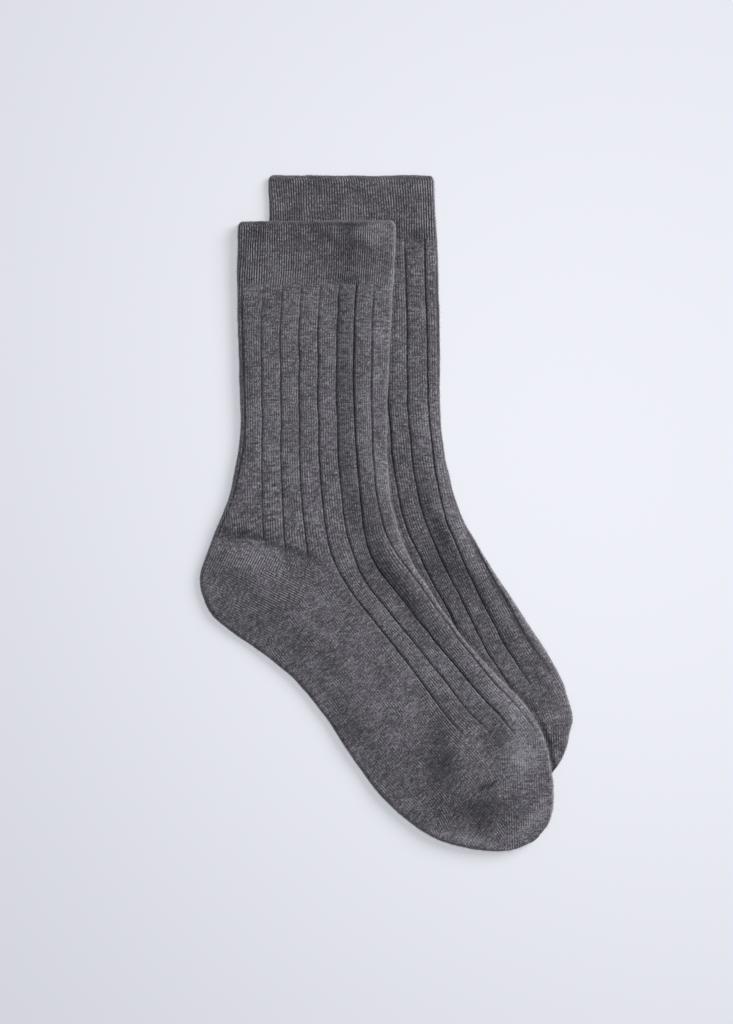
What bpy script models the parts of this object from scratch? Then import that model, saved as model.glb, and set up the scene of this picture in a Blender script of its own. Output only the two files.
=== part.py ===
"""A pair of ribbed wool socks, laid flat, one lying partly on the other.

Each sock is one flattened knitted tube: a plain inside, an open cuff, wide ribs down the leg and over the
instep, and a plain heel, sole and toe. Rings run across the sock, each from its front fold (shin, instep)
to its back fold (calf, heel, sole), and the cloth is lofted from ring to ring.

Frame: +X to the right, +Y from toe to cuff, +Z up off the surface that the pair lies on. Lengths below are
in millimetres, and MM turns them into metres.
"""

import bmesh
import bpy
import numpy as np

MM = 0.001

# Cloth
WALL = 1.2  # knit under a groove, and everywhere on the underside
KNIT_LOFT = 0.6  # what a plain knitted face stands above the bottom of a groove
RIB_CROWN = 0.2  # how much a rib's middle is higher still
GROOVE_HALF_WIDTH = 0.9
HOLLOW = 0.5  # air between the two layers of a sock
FOLD_ROUNDING = 2.4  # how far in from a fold the sock reaches its full thickness
LAST_GROOVE_INSET = 2.2  # from the back fold to the groove beside it
RIM_ROUNDING = 0.35  # how much lower the cuff's turned edge is than the cuff

# The upper sock on the lower one
LOWER_SOCK_THICKNESS = 2 * WALL + HOLLOW + KNIT_LOFT + RIB_CROWN
REST_HEIGHT = LOWER_SOCK_THICKNESS + 0.45
SLOPE_STARTS = 2.0  # the upper sock starts to come down this far outside the lower one
UNDERSIDE_SLOPE = 13.0
TOP_SLOPE = 17.0

# A sock's pattern fits this width, and narrows with the toe
PATTERN_WIDTH = 74.0

# Both ends of each ring, how far each groove is from the front fold, and the soft ridge beside that fold.
# groove_1 to groove_4 are measured one by one, and those behind them are back_pitch apart.
# rings is the number of rings from this row up to the next.
COLUMNS = (
    "back_x", "back_y", "front_x", "front_y",
    "groove_1", "groove_2", "groove_3", "groove_4", "back_pitch",
    "ridge_at", "ridge_height", "rings",
)  # fmt: skip

UPPER_ROWS = {
    "cuff top": (-74.7, 146.5, 5.0, 146.5, 9.7, 18.6, 27.2, 36.8, 9.5, 18.0, 1.8, 3),
    "cuff base": (-74.9, 115.5, 3.8, 115.5, 9.7, 18.6, 27.1, 36.6, 9.6, 17.0, 1.8, 1),
    "leg top": (-74.9, 114.0, 3.7, 114.0, 9.7, 18.6, 27.1, 36.6, 9.6, 17.0, 1.8, 2),
    "upper leg": (-74.7, 92.4, 2.3, 92.4, 9.6, 18.5, 27.0, 36.5, 9.6, 16.5, 1.8, 3),
    "middle of leg": (-73.7, 67.3, 1.3, 67.3, 8.8, 17.8, 26.4, 35.5, 9.4, 15.5, 1.7, 2),
    "lower leg": (-73.2, 42.1, 0.5, 42.1, 7.8, 16.2, 25.0, 34.7, 9.4, 13.5, 1.7, 2),
    "above ankle": (-74.9, 28.0, 0.8, 28.0, 7.4, 15.4, 24.5, 34.5, 9.6, 12.5, 1.6, 2),
    "ankle": (-79.5, 6.9, 1.5, 17.0, 7.2, 15.2, 24.5, 34.4, 9.9, 11.5, 1.6, 2),
    "heel starts": (-87.5, -13.2, 2.5, 6.9, 6.8, 15.4, 24.7, 34.6, 10.4, 10.5, 1.6, 2),
    "heel back": (-93.6, -32.3, 4.3, -0.7, 7.1, 16.6, 25.4, 35.7, 11.0, 9.5, 1.6, 2),
    "heel corner": (-89.2, -48.7, 6.5, -8.2, 6.9, 17.6, 25.8, 36.2, 12.5, 8.5, 1.5, 2),
    "heel under": (-77.8, -59.7, 9.1, -15.7, 5.5, 17.4, 25.8, 35.2, 12.5, 7.5, 1.4, 2),
    "heel ends": (-62.4, -70.1, 12.6, -23.3, 3.9, 15.9, 25.0, 33.7, 12.0, 6.5, 1.3, 2),
    "arch": (-48.3, -81.6, 19.6, -34.4, 2.9, 14.4, 23.6, 32.3, 11.0, 6.0, 1.2, 3),
    "middle of foot": (-31.7, -100.8, 31.2, -52.5, 2.1, 12.3, 21.0, 30.0, 11.0, 5.5, 1.1, 2),
    "ball": (-20.1, -118.2, 43.3, -69.6, 1.4, 10.9, 19.9, 29.2, 11.0, 5.0, 1.0, 2),
    "before toe": (-7.4, -136.1, 55.8, -84.7, 1.2, 10.6, 20.3, 30.1, 11.0, 5.0, 0.9, 2),
    "toe starts": (6.9, -150.9, 68.4, -97.7, 1.3, 11.0, 20.5, 30.5, 11.0, 5.0, 0.8, 2),
    "toe widest": (22.1, -161.6, 78.0, -111.3, 1.3, 11.0, 20.5, 30.5, 11.0, 5.0, 0.6, 2),
    "toe corner": (34.7, -166.9, 82.2, -123.9, 1.3, 11.0, 20.5, 30.5, 11.0, 5.0, 0.4, 2),
    "toe narrows": (46.3, -169.2, 83.7, -136.5, 1.3, 11.0, 20.5, 30.5, 11.0, 5.0, 0.2, 2),
    "toe end": (57.3, -169.9, 83.5, -146.5, 1.3, 11.0, 20.5, 30.5, 11.0, 5.0, 0.0, 2),
    "toe rounds": (66.4, -168.4, 81.2, -155.1, 1.3, 11.0, 20.5, 30.5, 11.0, 5.0, 0.0, 2),
    "toe tip": (72.4, -165.6, 78.0, -160.6, 1.3, 11.0, 20.5, 30.5, 11.0, 5.0, 0.0, 0),
}

LOWER_ROWS = {
    "cuff top": (-59.1, 169.9, 23.9, 169.9, 0.6, 6.0, 16.0, 26.0, 10.3, 9.0, 0.5, 3),
    "cuff base": (-58.3, 138.4, 25.1, 138.4, 0.6, 5.9, 15.9, 25.9, 10.3, 9.0, 0.5, 1),
    "leg top": (-58.2, 136.9, 25.1, 136.9, 0.6, 5.9, 15.9, 25.9, 10.3, 9.0, 0.5, 3),
    "upper leg": (-55.3, 112.5, 25.7, 112.5, 0.6, 5.9, 15.8, 25.7, 10.2, 9.0, 0.5, 3),
    "middle of leg": (-52.8, 82.3, 26.4, 82.3, 0.6, 5.8, 15.8, 25.7, 10.0, 9.0, 0.5, 2),
    "lower leg": (-51.3, 57.2, 26.7, 57.2, 0.6, 5.8, 15.9, 25.8, 9.8, 9.0, 0.6, 2),
    "above ankle": (-50.3, 41.1, 27.7, 39.6, 0.6, 5.8, 16.2, 26.0, 9.8, 8.5, 0.8, 2),
    "ankle": (-51.3, 26.0, 29.2, 27.0, 0.6, 6.1, 16.6, 26.4, 10.0, 8.0, 1.0, 2),
    "heel starts": (-54.8, 10.4, 31.7, 17.0, 0.6, 6.9, 17.5, 27.2, 10.4, 8.0, 1.2, 2),
    "heel back": (-64.4, -9.2, 34.7, 6.9, 0.6, 7.5, 18.1, 27.9, 11.5, 7.5, 1.4, 2),
    "heel corner": (-61.9, -27.3, 38.2, -3.2, 0.6, 8.4, 18.4, 28.2, 12.0, 7.5, 1.5, 2),
    "heel under": (-44.8, -41.4, 43.3, -11.7, 0.6, 9.2, 19.3, 28.4, 11.0, 7.5, 1.5, 2),
    "heel ends": (-28.7, -57.0, 49.3, -22.3, 1.1, 9.8, 19.7, 28.6, 10.0, 7.5, 1.5, 2),
    "arch": (-16.6, -70.1, 55.8, -32.3, 2.6, 11.0, 20.4, 29.0, 9.5, 7.0, 1.4, 2),
    "middle of foot": (-5.5, -85.2, 63.9, -44.9, 3.9, 12.6, 22.1, 31.0, 9.5, 7.0, 1.3, 2),
    "ball": (3.0, -98.9, 73.4, -60.0, 4.0, 13.5, 23.0, 32.0, 9.5, 6.5, 1.2, 2),
    "before toe": (10.6, -110.8, 82.0, -73.6, 3.8, 13.8, 23.4, 32.5, 9.5, 6.0, 0.9, 2),
    "toe starts": (17.1, -121.0, 87.8, -83.7, 3.6, 13.6, 23.2, 32.3, 9.5, 6.0, 0.6, 2),
    "toe widest": (23.2, -130.8, 91.3, -93.7, 3.5, 13.4, 23.0, 32.0, 9.5, 6.0, 0.3, 2),
    "toe corner": (30.7, -139.7, 93.6, -102.9, 3.5, 13.4, 23.0, 32.0, 9.5, 6.0, 0.0, 2),
    "toe narrows": (40.4, -146.7, 92.0, -110.3, 3.5, 13.4, 23.0, 32.0, 9.5, 6.0, 0.0, 2),
    "toe end": (51.0, -150.0, 90.0, -119.0, 3.5, 13.4, 23.0, 32.0, 9.5, 6.0, 0.0, 2),
    "toe rounds": (60.4, -150.0, 84.8, -128.1, 3.5, 13.4, 23.0, 32.0, 9.5, 6.0, 0.0, 2),
    "toe tip": (67.1, -148.2, 78.0, -137.0, 3.5, 13.4, 23.0, 32.0, 9.5, 6.0, 0.0, 0),
}

# How each sock differs. A seam line is two points: what lies to the left of the way from one to the other
# is ribbed. foot_grooves run on over the instep, and the others end at the heel.
UPPER_SOCK = {
    "rows": UPPER_ROWS,
    "grooves": 8,
    "foot_grooves": 4,
    "cuff_base_y": 115.5,
    "heel_line": ((-84.5, -10.7), (-38.7, -21.8)),
    "toe_line": ((37.2, -116.3), (74.4, -108.3)),
    "ridge_flank": 12.0,
    "underside_columns": 12,
    "lining_columns": 12,
}
LOWER_SOCK = {
    "rows": LOWER_ROWS,
    "grooves": 9,
    "foot_grooves": 5,
    "cuff_base_y": 138.4,
    "heel_line": ((-60.0, 2.0), (0.0, -14.0)),
    "toe_line": ((58.0, -107.2), (93.6, -102.8)),
    "ridge_flank": 15.0,
    "underside_columns": 3,
    "lining_columns": 6,
}
MEASURED_GROOVES = 4
RIB_START_LENGTH = 1.2  # over which the ribs rise below the cuff
RIB_END_LENGTH = 3.0  # over which they fade at the heel and the toe
SHALLOWEST_GROOVE = 0.3  # a groove nearer the fold than this has turned under
FULL_GROOVE = 1.5  # and one this far in has its full depth

EDGE_SHARES = (0.04, 0.15, 0.4, 0.7)  # where columns stand between a fold and the nearest groove
BACK_SHARES = (0.25, 0.5, 0.75)  # and across the plain stretch beside the last groove
ROUND_SHARES = (0.08, 0.29, 0.62, 1.0)  # and on the underside, across the fold's rounding
LINING_INSET = 1.6  # the inside's own fold is this far in from the outer one
LINING_ROUNDING = 2.0
LINING_END_WIDTH = 12.0  # the inside ends where the toe is this wide
CLOSING_RINGS = ((0.62, 0.85), (0.25, 0.5))  # share of the tip's width and of its thickness
TIP_BULGE = 0.08  # how far the closing rings go on past the last one, as a share of its width

WOOL_GREY = (0.105, 0.104, 0.118, 1.0)  # linear
WOOL_ROUGHNESS = 0.95


def clear_scene():
    for obj in list(bpy.data.objects):
        bpy.data.objects.remove(obj)


def ease(value):
    """0 below 0, 1 above 1, and a soft S between."""
    share = np.clip(value, 0.0, 1.0)
    return share * share * (3.0 - 2.0 * share)


def smooth_rows(rows):
    """The rings' values, one line each: a cubic through every row's values, with no kink at a row."""
    steps = rows[1:, :4] - rows[:-1, :4]
    lengths = (np.hypot(steps[:, 0], steps[:, 1]) + np.hypot(steps[:, 2], steps[:, 3])) / 2
    slopes = (rows[1:] - rows[:-1]) / lengths[:, None]
    before = np.vstack([slopes[:1], slopes])
    after = np.vstack([slopes, slopes[-1:]])
    length_before = np.append(lengths[:1], lengths)[:, None]
    length_after = np.append(lengths, lengths[-1:])[:, None]
    tangents = (before * length_after + after * length_before) / (length_before + length_after)
    rings = []
    for index, length in enumerate(lengths):
        for share in np.arange(rows[index, -1]) / rows[index, -1]:
            start = rows[index] + slopes[index] * length * ease(share)
            out = share * (1 - share) ** 2 * length * tangents[index]
            back = share**2 * (1 - share) * length * tangents[index + 1]
            rings.append(start + out - back)
    rings.append(rows[-1])
    return [dict(zip(COLUMNS, ring)) for ring in rings]


def fold_points(ring):
    return np.array([ring["front_x"], ring["front_y"]]), np.array([ring["back_x"], ring["back_y"]])


def ring_width(ring):
    front, back = fold_points(ring)
    return float(np.hypot(*(back - front)))


def pattern_scale(ring):
    return min(1.0, ring_width(ring) / PATTERN_WIDTH)


def groove_places(sock, ring):
    """How far each groove is from the front fold."""
    scale = pattern_scale(ring)
    places = [ring[f"groove_{number + 1}"] * scale for number in range(MEASURED_GROOVES)]
    while len(places) < sock["grooves"] - 1:
        places.append(places[-1] + ring["back_pitch"] * scale)
    places.append(ring_width(ring) - LAST_GROOVE_INSET * scale)
    return np.array(places)


def side_of(line, points):
    """How far each point is to the left of the way along the line."""
    start, end = np.array(line)
    along = (end - start) / np.hypot(*(end - start))
    return (points[:, 1] - start[1]) * along[0] - (points[:, 0] - start[0]) * along[1]


def groove_depths(sock, places, points):
    """How deep each groove is at each point, from 0 to 1: one line for each groove."""
    below_cuff = np.clip((sock["cuff_base_y"] - points[:, 1]) / RIB_START_LENGTH, 0, 1)
    before_toe = ease(0.5 + side_of(sock["toe_line"], points) / RIB_END_LENGTH)
    above_heel = ease(0.5 + side_of(sock["heel_line"], points) / RIB_END_LENGTH)
    depths = []
    for number, place in enumerate(places):
        reach = before_toe if number < sock["foot_grooves"] else above_heel
        turned = ease((place - SHALLOWEST_GROOVE) / (FULL_GROOVE - SHALLOWEST_GROOVE))
        depths.append(below_cuff * reach * turned)
    return np.array(depths)


def knit_relief(sock, ring, along, points):
    """How high the top face stands above the bottom of a groove, at each distance from the front fold."""
    places = groove_places(sock, ring)
    depths = groove_depths(sock, places, points)
    relief = np.full(len(along), KNIT_LOFT)
    for number in range(len(places) - 1):
        span = places[number + 1] - places[number]
        share = np.clip((along - places[number]) / span, 0, 1)
        crown = 4 * share * (1 - share)
        relief += RIB_CROWN * crown * depths[number] * depths[number + 1]
    half_width = GROOVE_HALF_WIDTH * pattern_scale(ring)
    for place, depth in zip(places, depths):
        relief -= KNIT_LOFT * depth * (1 - ease(np.abs(along - place) / half_width))
    return relief


def ridge(sock, ring, along):
    """The soft ridge that the cloth keeps beside the front fold."""
    crest = ring["ridge_at"] * pattern_scale(ring)
    rise = np.sin(np.pi / 2 * np.clip(along / crest, 0, 1))
    fall = 1 - ease((along - crest) / sock["ridge_flank"])
    return ring["ridge_height"] * rise * fall


def footprint(rings):
    """The sock's outline seen from above, as points round it."""
    fronts, backs = zip(*(fold_points(ring) for ring in rings))
    return np.array(fronts + backs[::-1])


def distance_inside(outline, points):
    """How far each point is inside the outline, and negative outside."""
    nearest = np.full(len(points), np.inf)
    crossings = np.zeros(len(points), int)
    for start, end in zip(outline, np.roll(outline, -1, axis=0)):
        edge = end - start
        share = np.clip((points - start) @ edge / (edge @ edge), 0, 1)
        away = points - start - share[:, None] * edge
        nearest = np.minimum(nearest, np.hypot(away[:, 0], away[:, 1]))
        straddles = (start[1] > points[:, 1]) != (end[1] > points[:, 1])
        height_share = (points[:, 1] - start[1]) / (edge[1] if edge[1] else 1.0)
        crossings += straddles & (points[:, 0] < start[0] + height_share * edge[0])
    return np.where(crossings % 2 == 1, nearest, -nearest)


def rest_heights(under, points):
    """The height that the underside and the top layer rest at: on the surface, or on the sock below."""
    if under is None:
        return np.zeros(len(points)), np.zeros(len(points))
    outside = -distance_inside(under, points) - SLOPE_STARTS
    underside = REST_HEIGHT * (1 - ease(outside / UNDERSIDE_SLOPE))
    top = REST_HEIGHT * (1 - ease(outside / TOP_SLOPE))
    return underside, top


def layers(sock, ring, under, along):
    """Points across the ring at the given distances from the front fold, and their layers' heights."""
    front, back = fold_points(ring)
    points = front + (back - front) * (along / ring_width(ring))[:, None]
    underside, top = rest_heights(under, points)
    face = top + 2 * WALL + HOLLOW + ridge(sock, ring, along)
    return points, underside, face


def quarter_round(distance, rounding):
    """From 0 at a fold to 1 where its rounding ends."""
    return np.sqrt(1 - (1 - np.clip(distance / rounding, 0, 1)) ** 2)


def outer_ring(sock, ring, under, thickness=1.0, dip=0.0):
    """The ring's outer points: over the top from the front fold to the back one, and back underneath."""
    width = ring_width(ring)
    scale = pattern_scale(ring)
    rounding = min(FOLD_ROUNDING, width / 2)
    places = groove_places(sock, ring)
    half_widths = np.minimum(GROOVE_HALF_WIDTH * scale, places / 2)
    half_widths[-1] = min(half_widths[-1], (width - places[-1]) / 2)
    top = [0.0]
    top += [(places[0] - half_widths[0]) * share for share in EDGE_SHARES]
    for number, place in enumerate(places):
        top += [place - half_widths[number], place, place + half_widths[number]]
        if number < len(places) - 1:
            start, end = place + half_widths[number], places[number + 1] - half_widths[number + 1]
            shares = BACK_SHARES if number == len(places) - 2 else (0.5,)
            top += [start + (end - start) * share for share in shares]
    top += [width - (width - places[-1] - half_widths[-1]) * share for share in EDGE_SHARES[::-1]]
    top += [width]
    edges = [rounding * share for share in ROUND_SHARES]
    middle = np.linspace(rounding, width - rounding, sock["underside_columns"] + 2)[1:-1]
    bottom = edges + list(middle) + [width - edge for edge in edges[::-1]]
    heights = []
    for along, is_top in ((np.array(top), True), (np.array(bottom[::-1]), False)):
        points, underside, face = layers(sock, ring, under, along)
        between = (underside + face) / 2
        if is_top:
            surface = face + knit_relief(sock, ring, along, points) - dip
        else:
            surface = underside + dip
        roundness = quarter_round(np.minimum(along, width - along), rounding) * thickness
        height = between + (surface - between) * roundness
        heights.append(np.column_stack([points, height]))
    return np.vstack(heights), np.append(top, 2 * width - np.array(bottom[::-1]))


def inner_ring(sock, ring, under):
    """The ring's inner points, in the same order."""
    width = ring_width(ring)
    inside = width - 2 * LINING_INSET
    edge = LINING_ROUNDING * 0.3
    middle = np.linspace(LINING_ROUNDING, inside - LINING_ROUNDING, sock["lining_columns"])
    columns = np.concatenate([[edge], middle, [inside - edge]])
    loops = []
    for along, side in ((np.concatenate([[0.0], columns, [inside]]), 1), (columns[::-1], -1)):
        points, underside, face = layers(sock, ring, under, along + LINING_INSET)
        room = (face - underside) / 2 - WALL
        open_share = quarter_round(np.minimum(along, inside - along), LINING_ROUNDING)
        height = (face + underside) / 2 + side * room * open_share
        loops.append(np.column_stack([points, height]))
    turn = np.concatenate([[0.0], columns, [inside], 2 * inside - columns[::-1]])
    return np.vstack(loops), turn * width / inside


def closing_rings(tip, sock, under):
    """Ever smaller rings that round off the toe."""
    front, back = fold_points(tip)
    middle = (front + back) / 2
    across = (back - front) / np.hypot(*(back - front))
    forward = np.array([across[1], -across[0]]) * ring_width(tip) * TIP_BULGE
    rings = []
    for number, (width_share, thickness) in enumerate(CLOSING_RINGS, 1):
        centre = middle + forward * number / len(CLOSING_RINGS)
        ring = dict(tip)
        ring["front_x"], ring["front_y"] = centre + (front - middle) * width_share
        ring["back_x"], ring["back_y"] = centre + (back - middle) * width_share
        rings.append(outer_ring(sock, ring, under, thickness)[0])
    return rings


def loft(bm, loops):
    """Faces between loops of equally many points, and a fan that closes the last one."""
    verts = [[bm.verts.new(point * MM) for point in loop] for loop in loops]
    for first, second in zip(verts, verts[1:]):
        for here in range(len(first)):
            after = (here + 1) % len(first)
            bm.faces.new((first[here], first[after], second[after], second[here]))
    tip = bm.verts.new(loops[-1].mean(axis=0) * MM)
    last = verts[-1]
    for here in range(len(last)):
        bm.faces.new((last[here], last[(here + 1) % len(last)], tip))
    return verts


def join_rims(bm, outer, outer_turn, inner, inner_turn):
    """The cuff's open edge: triangles between two loops of unlike counts, by how far round each point is."""
    i = j = 0
    whole_turn = max(outer_turn[-1], inner_turn[-1]) + 1.0
    outer_turn = np.append(outer_turn, whole_turn)
    inner_turn = np.append(inner_turn, whole_turn)
    while i < len(outer) or j < len(inner):
        here_out, here_in = outer[i % len(outer)], inner[j % len(inner)]
        if j == len(inner) or (i < len(outer) and outer_turn[i + 1] <= inner_turn[j + 1]):
            bm.faces.new((here_out, here_in, outer[(i + 1) % len(outer)]))
            i += 1
        else:
            bm.faces.new((here_out, here_in, inner[(j + 1) % len(inner)]))
            j += 1


def wool():
    material = bpy.data.materials.new("grey_wool")
    material.use_nodes = True
    shader = material.node_tree.nodes["Principled BSDF"]
    shader.inputs["Base Color"].default_value = WOOL_GREY
    shader.inputs["Roughness"].default_value = WOOL_ROUGHNESS
    shader.inputs["Metallic"].default_value = 0.0
    return material


def make_sock(name, sock, collection, material, under=None):
    """One sock as a closed solid: outside, inside and the rim that joins them at the cuff."""
    rings = smooth_rows(np.array(list(sock["rows"].values())))
    rim, rim_turn = outer_ring(sock, rings[0], under, dip=RIM_ROUNDING)
    outer = [rim] + [outer_ring(sock, ring, under)[0] for ring in rings[1:]]
    outer += closing_rings(rings[-1], sock, under)
    lining = [inner_ring(sock, ring, under) for ring in rings if ring_width(ring) > LINING_END_WIDTH]
    bm = bmesh.new()
    outer_verts = loft(bm, outer)
    inner_verts = loft(bm, [points for points, _ in lining])
    join_rims(bm, outer_verts[0], rim_turn, inner_verts[0], lining[0][1])
    bmesh.ops.recalc_face_normals(bm, faces=bm.faces)
    mesh = bpy.data.meshes.new(name)
    bm.to_mesh(mesh)
    bm.free()
    mesh.shade_smooth()
    mesh.materials.append(material)
    obj = bpy.data.objects.new(name, mesh)
    collection.objects.link(obj)
    return footprint(rings)


def main():
    clear_scene()
    collection = bpy.data.collections.new("ribbed_wool_socks")
    bpy.context.scene.collection.children.link(collection)
    material = wool()
    lower_outline = make_sock("lower_sock", LOWER_SOCK, collection, material)
    make_sock("upper_sock", UPPER_SOCK, collection, material, under=lower_outline)


main()
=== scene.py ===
# %% [markdown]
# # A pair of ribbed wool socks, laid flat
#
# Two mid-calf socks lie on a pale table, one partly on the other, seen from straight above. Each is
# knitted in one go as a tube: a fine-ribbed cuff, a leg of wide ribs, a turned heel, a foot with ribs on
# the instep and a plain sole, and a plain toe that one linked seam closes.
#
# The solid part already holds the outline, the folds and the ribs. Here each sock gets a finer knitted
# wall of the same form, with its soft creases, its stitches, its seam and its fuzz. All lengths are in
# millimetres until the points become a mesh.

# %% Load the part
import math

import bpy
import numpy as np
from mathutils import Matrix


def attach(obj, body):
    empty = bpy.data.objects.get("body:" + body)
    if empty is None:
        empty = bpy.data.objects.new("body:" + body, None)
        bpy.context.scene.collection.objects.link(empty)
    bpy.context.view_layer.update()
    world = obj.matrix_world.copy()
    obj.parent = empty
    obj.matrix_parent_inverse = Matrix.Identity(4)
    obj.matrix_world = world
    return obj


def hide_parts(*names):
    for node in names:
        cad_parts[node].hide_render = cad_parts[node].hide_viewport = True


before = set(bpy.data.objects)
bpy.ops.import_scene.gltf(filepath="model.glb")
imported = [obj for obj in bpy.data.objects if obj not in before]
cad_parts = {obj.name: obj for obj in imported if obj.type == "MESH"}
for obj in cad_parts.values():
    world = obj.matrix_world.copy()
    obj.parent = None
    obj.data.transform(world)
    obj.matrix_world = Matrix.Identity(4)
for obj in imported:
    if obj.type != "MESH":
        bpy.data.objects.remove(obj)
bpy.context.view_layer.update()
MM = 0.001

# %% [markdown]
# ## Where the cloth lies
#
# A flat sock is easiest to describe by lines across it, each from the front fold (shin, instep) to the
# back fold (calf, heel, sole). These tables repeat the solid's own lines: both ends of each line, how far
# the first four rib grooves are from the front fold, how far apart the others are, and the soft ridge
# that the cloth keeps beside the fold. Other ways would be to sculpt it or to drape a simulated tube, but
# lines can be read straight off the real sock, and the knitted wales can follow them.

# %% Lines across the upper sock
COLUMNS = (
    "back_x", "back_y", "front_x", "front_y",
    "groove_1", "groove_2", "groove_3", "groove_4", "back_pitch",
    "ridge_at", "ridge_height", "rings",
)
UPPER_ROWS = {
    "cuff top": (-74.7, 146.5, 5.0, 146.5, 9.7, 18.6, 27.2, 36.8, 9.5, 18.0, 1.8, 3),
    "cuff base": (-74.9, 115.5, 3.8, 115.5, 9.7, 18.6, 27.1, 36.6, 9.6, 17.0, 1.8, 1),
    "leg top": (-74.9, 114.0, 3.7, 114.0, 9.7, 18.6, 27.1, 36.6, 9.6, 17.0, 1.8, 2),
    "upper leg": (-74.7, 92.4, 2.3, 92.4, 9.6, 18.5, 27.0, 36.5, 9.6, 16.5, 1.8, 3),
    "middle of leg": (-73.7, 67.3, 1.3, 67.3, 8.8, 17.8, 26.4, 35.5, 9.4, 15.5, 1.7, 2),
    "lower leg": (-73.2, 42.1, 0.5, 42.1, 7.8, 16.2, 25.0, 34.7, 9.4, 13.5, 1.7, 2),
    "above ankle": (-74.9, 28.0, 0.8, 28.0, 7.4, 15.4, 24.5, 34.5, 9.6, 12.5, 1.6, 2),
    "ankle": (-79.5, 6.9, 1.5, 17.0, 7.2, 15.2, 24.5, 34.4, 9.9, 11.5, 1.6, 2),
    "heel starts": (-87.5, -13.2, 2.5, 6.9, 6.8, 15.4, 24.7, 34.6, 10.4, 10.5, 1.6, 2),
    "heel back": (-93.6, -32.3, 4.3, -0.7, 7.1, 16.6, 25.4, 35.7, 11.0, 9.5, 1.6, 2),
    "heel corner": (-89.2, -48.7, 6.5, -8.2, 6.9, 17.6, 25.8, 36.2, 12.5, 8.5, 1.5, 2),
    "heel under": (-77.8, -59.7, 9.1, -15.7, 5.5, 17.4, 25.8, 35.2, 12.5, 7.5, 1.4, 2),
    "heel ends": (-62.4, -70.1, 12.6, -23.3, 3.9, 15.9, 25.0, 33.7, 12.0, 6.5, 1.3, 2),
    "arch": (-48.3, -81.6, 19.6, -34.4, 2.9, 14.4, 23.6, 32.3, 11.0, 6.0, 1.2, 3),
    "middle of foot": (-31.7, -100.8, 31.2, -52.5, 2.1, 12.3, 21.0, 30.0, 11.0, 5.5, 1.1, 2),
    "ball": (-20.1, -118.2, 44.2, -68.8, 2.6, 12.1, 21.1, 30.4, 11.0, 5.0, 1.0, 2),
    "before toe": (-7.4, -136.1, 57.6, -83.2, 3.6, 13.0, 22.7, 32.5, 11.0, 5.0, 0.9, 2),
    "toe starts": (6.6, -151.1, 70.2, -96.2, 3.7, 13.4, 22.9, 32.9, 11.0, 5.0, 0.8, 2),
    "toe widest": (21.6, -161.8, 78.8, -110.7, 2.3, 12.0, 21.5, 31.5, 11.0, 5.0, 0.6, 2),
    "toe corner": (34.7, -166.9, 82.2, -123.9, 1.3, 11.0, 20.5, 30.5, 11.0, 5.0, 0.4, 2),
    "toe narrows": (46.3, -169.2, 84.0, -136.5, 1.3, 11.0, 20.5, 30.5, 11.0, 5.0, 0.2, 2),
    "toe end": (57.3, -169.9, 84.2, -146.6, 1.3, 11.0, 20.5, 30.5, 11.0, 5.0, 0.0, 2),
    "toe rounds": (66.2, -168.4, 82.0, -155.4, 1.3, 11.0, 20.5, 30.5, 11.0, 5.0, 0.0, 2),
    "toe tip": (72.0, -165.6, 77.6, -161.2, 1.3, 11.0, 20.5, 30.5, 11.0, 5.0, 0.0, 0),
}

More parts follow.
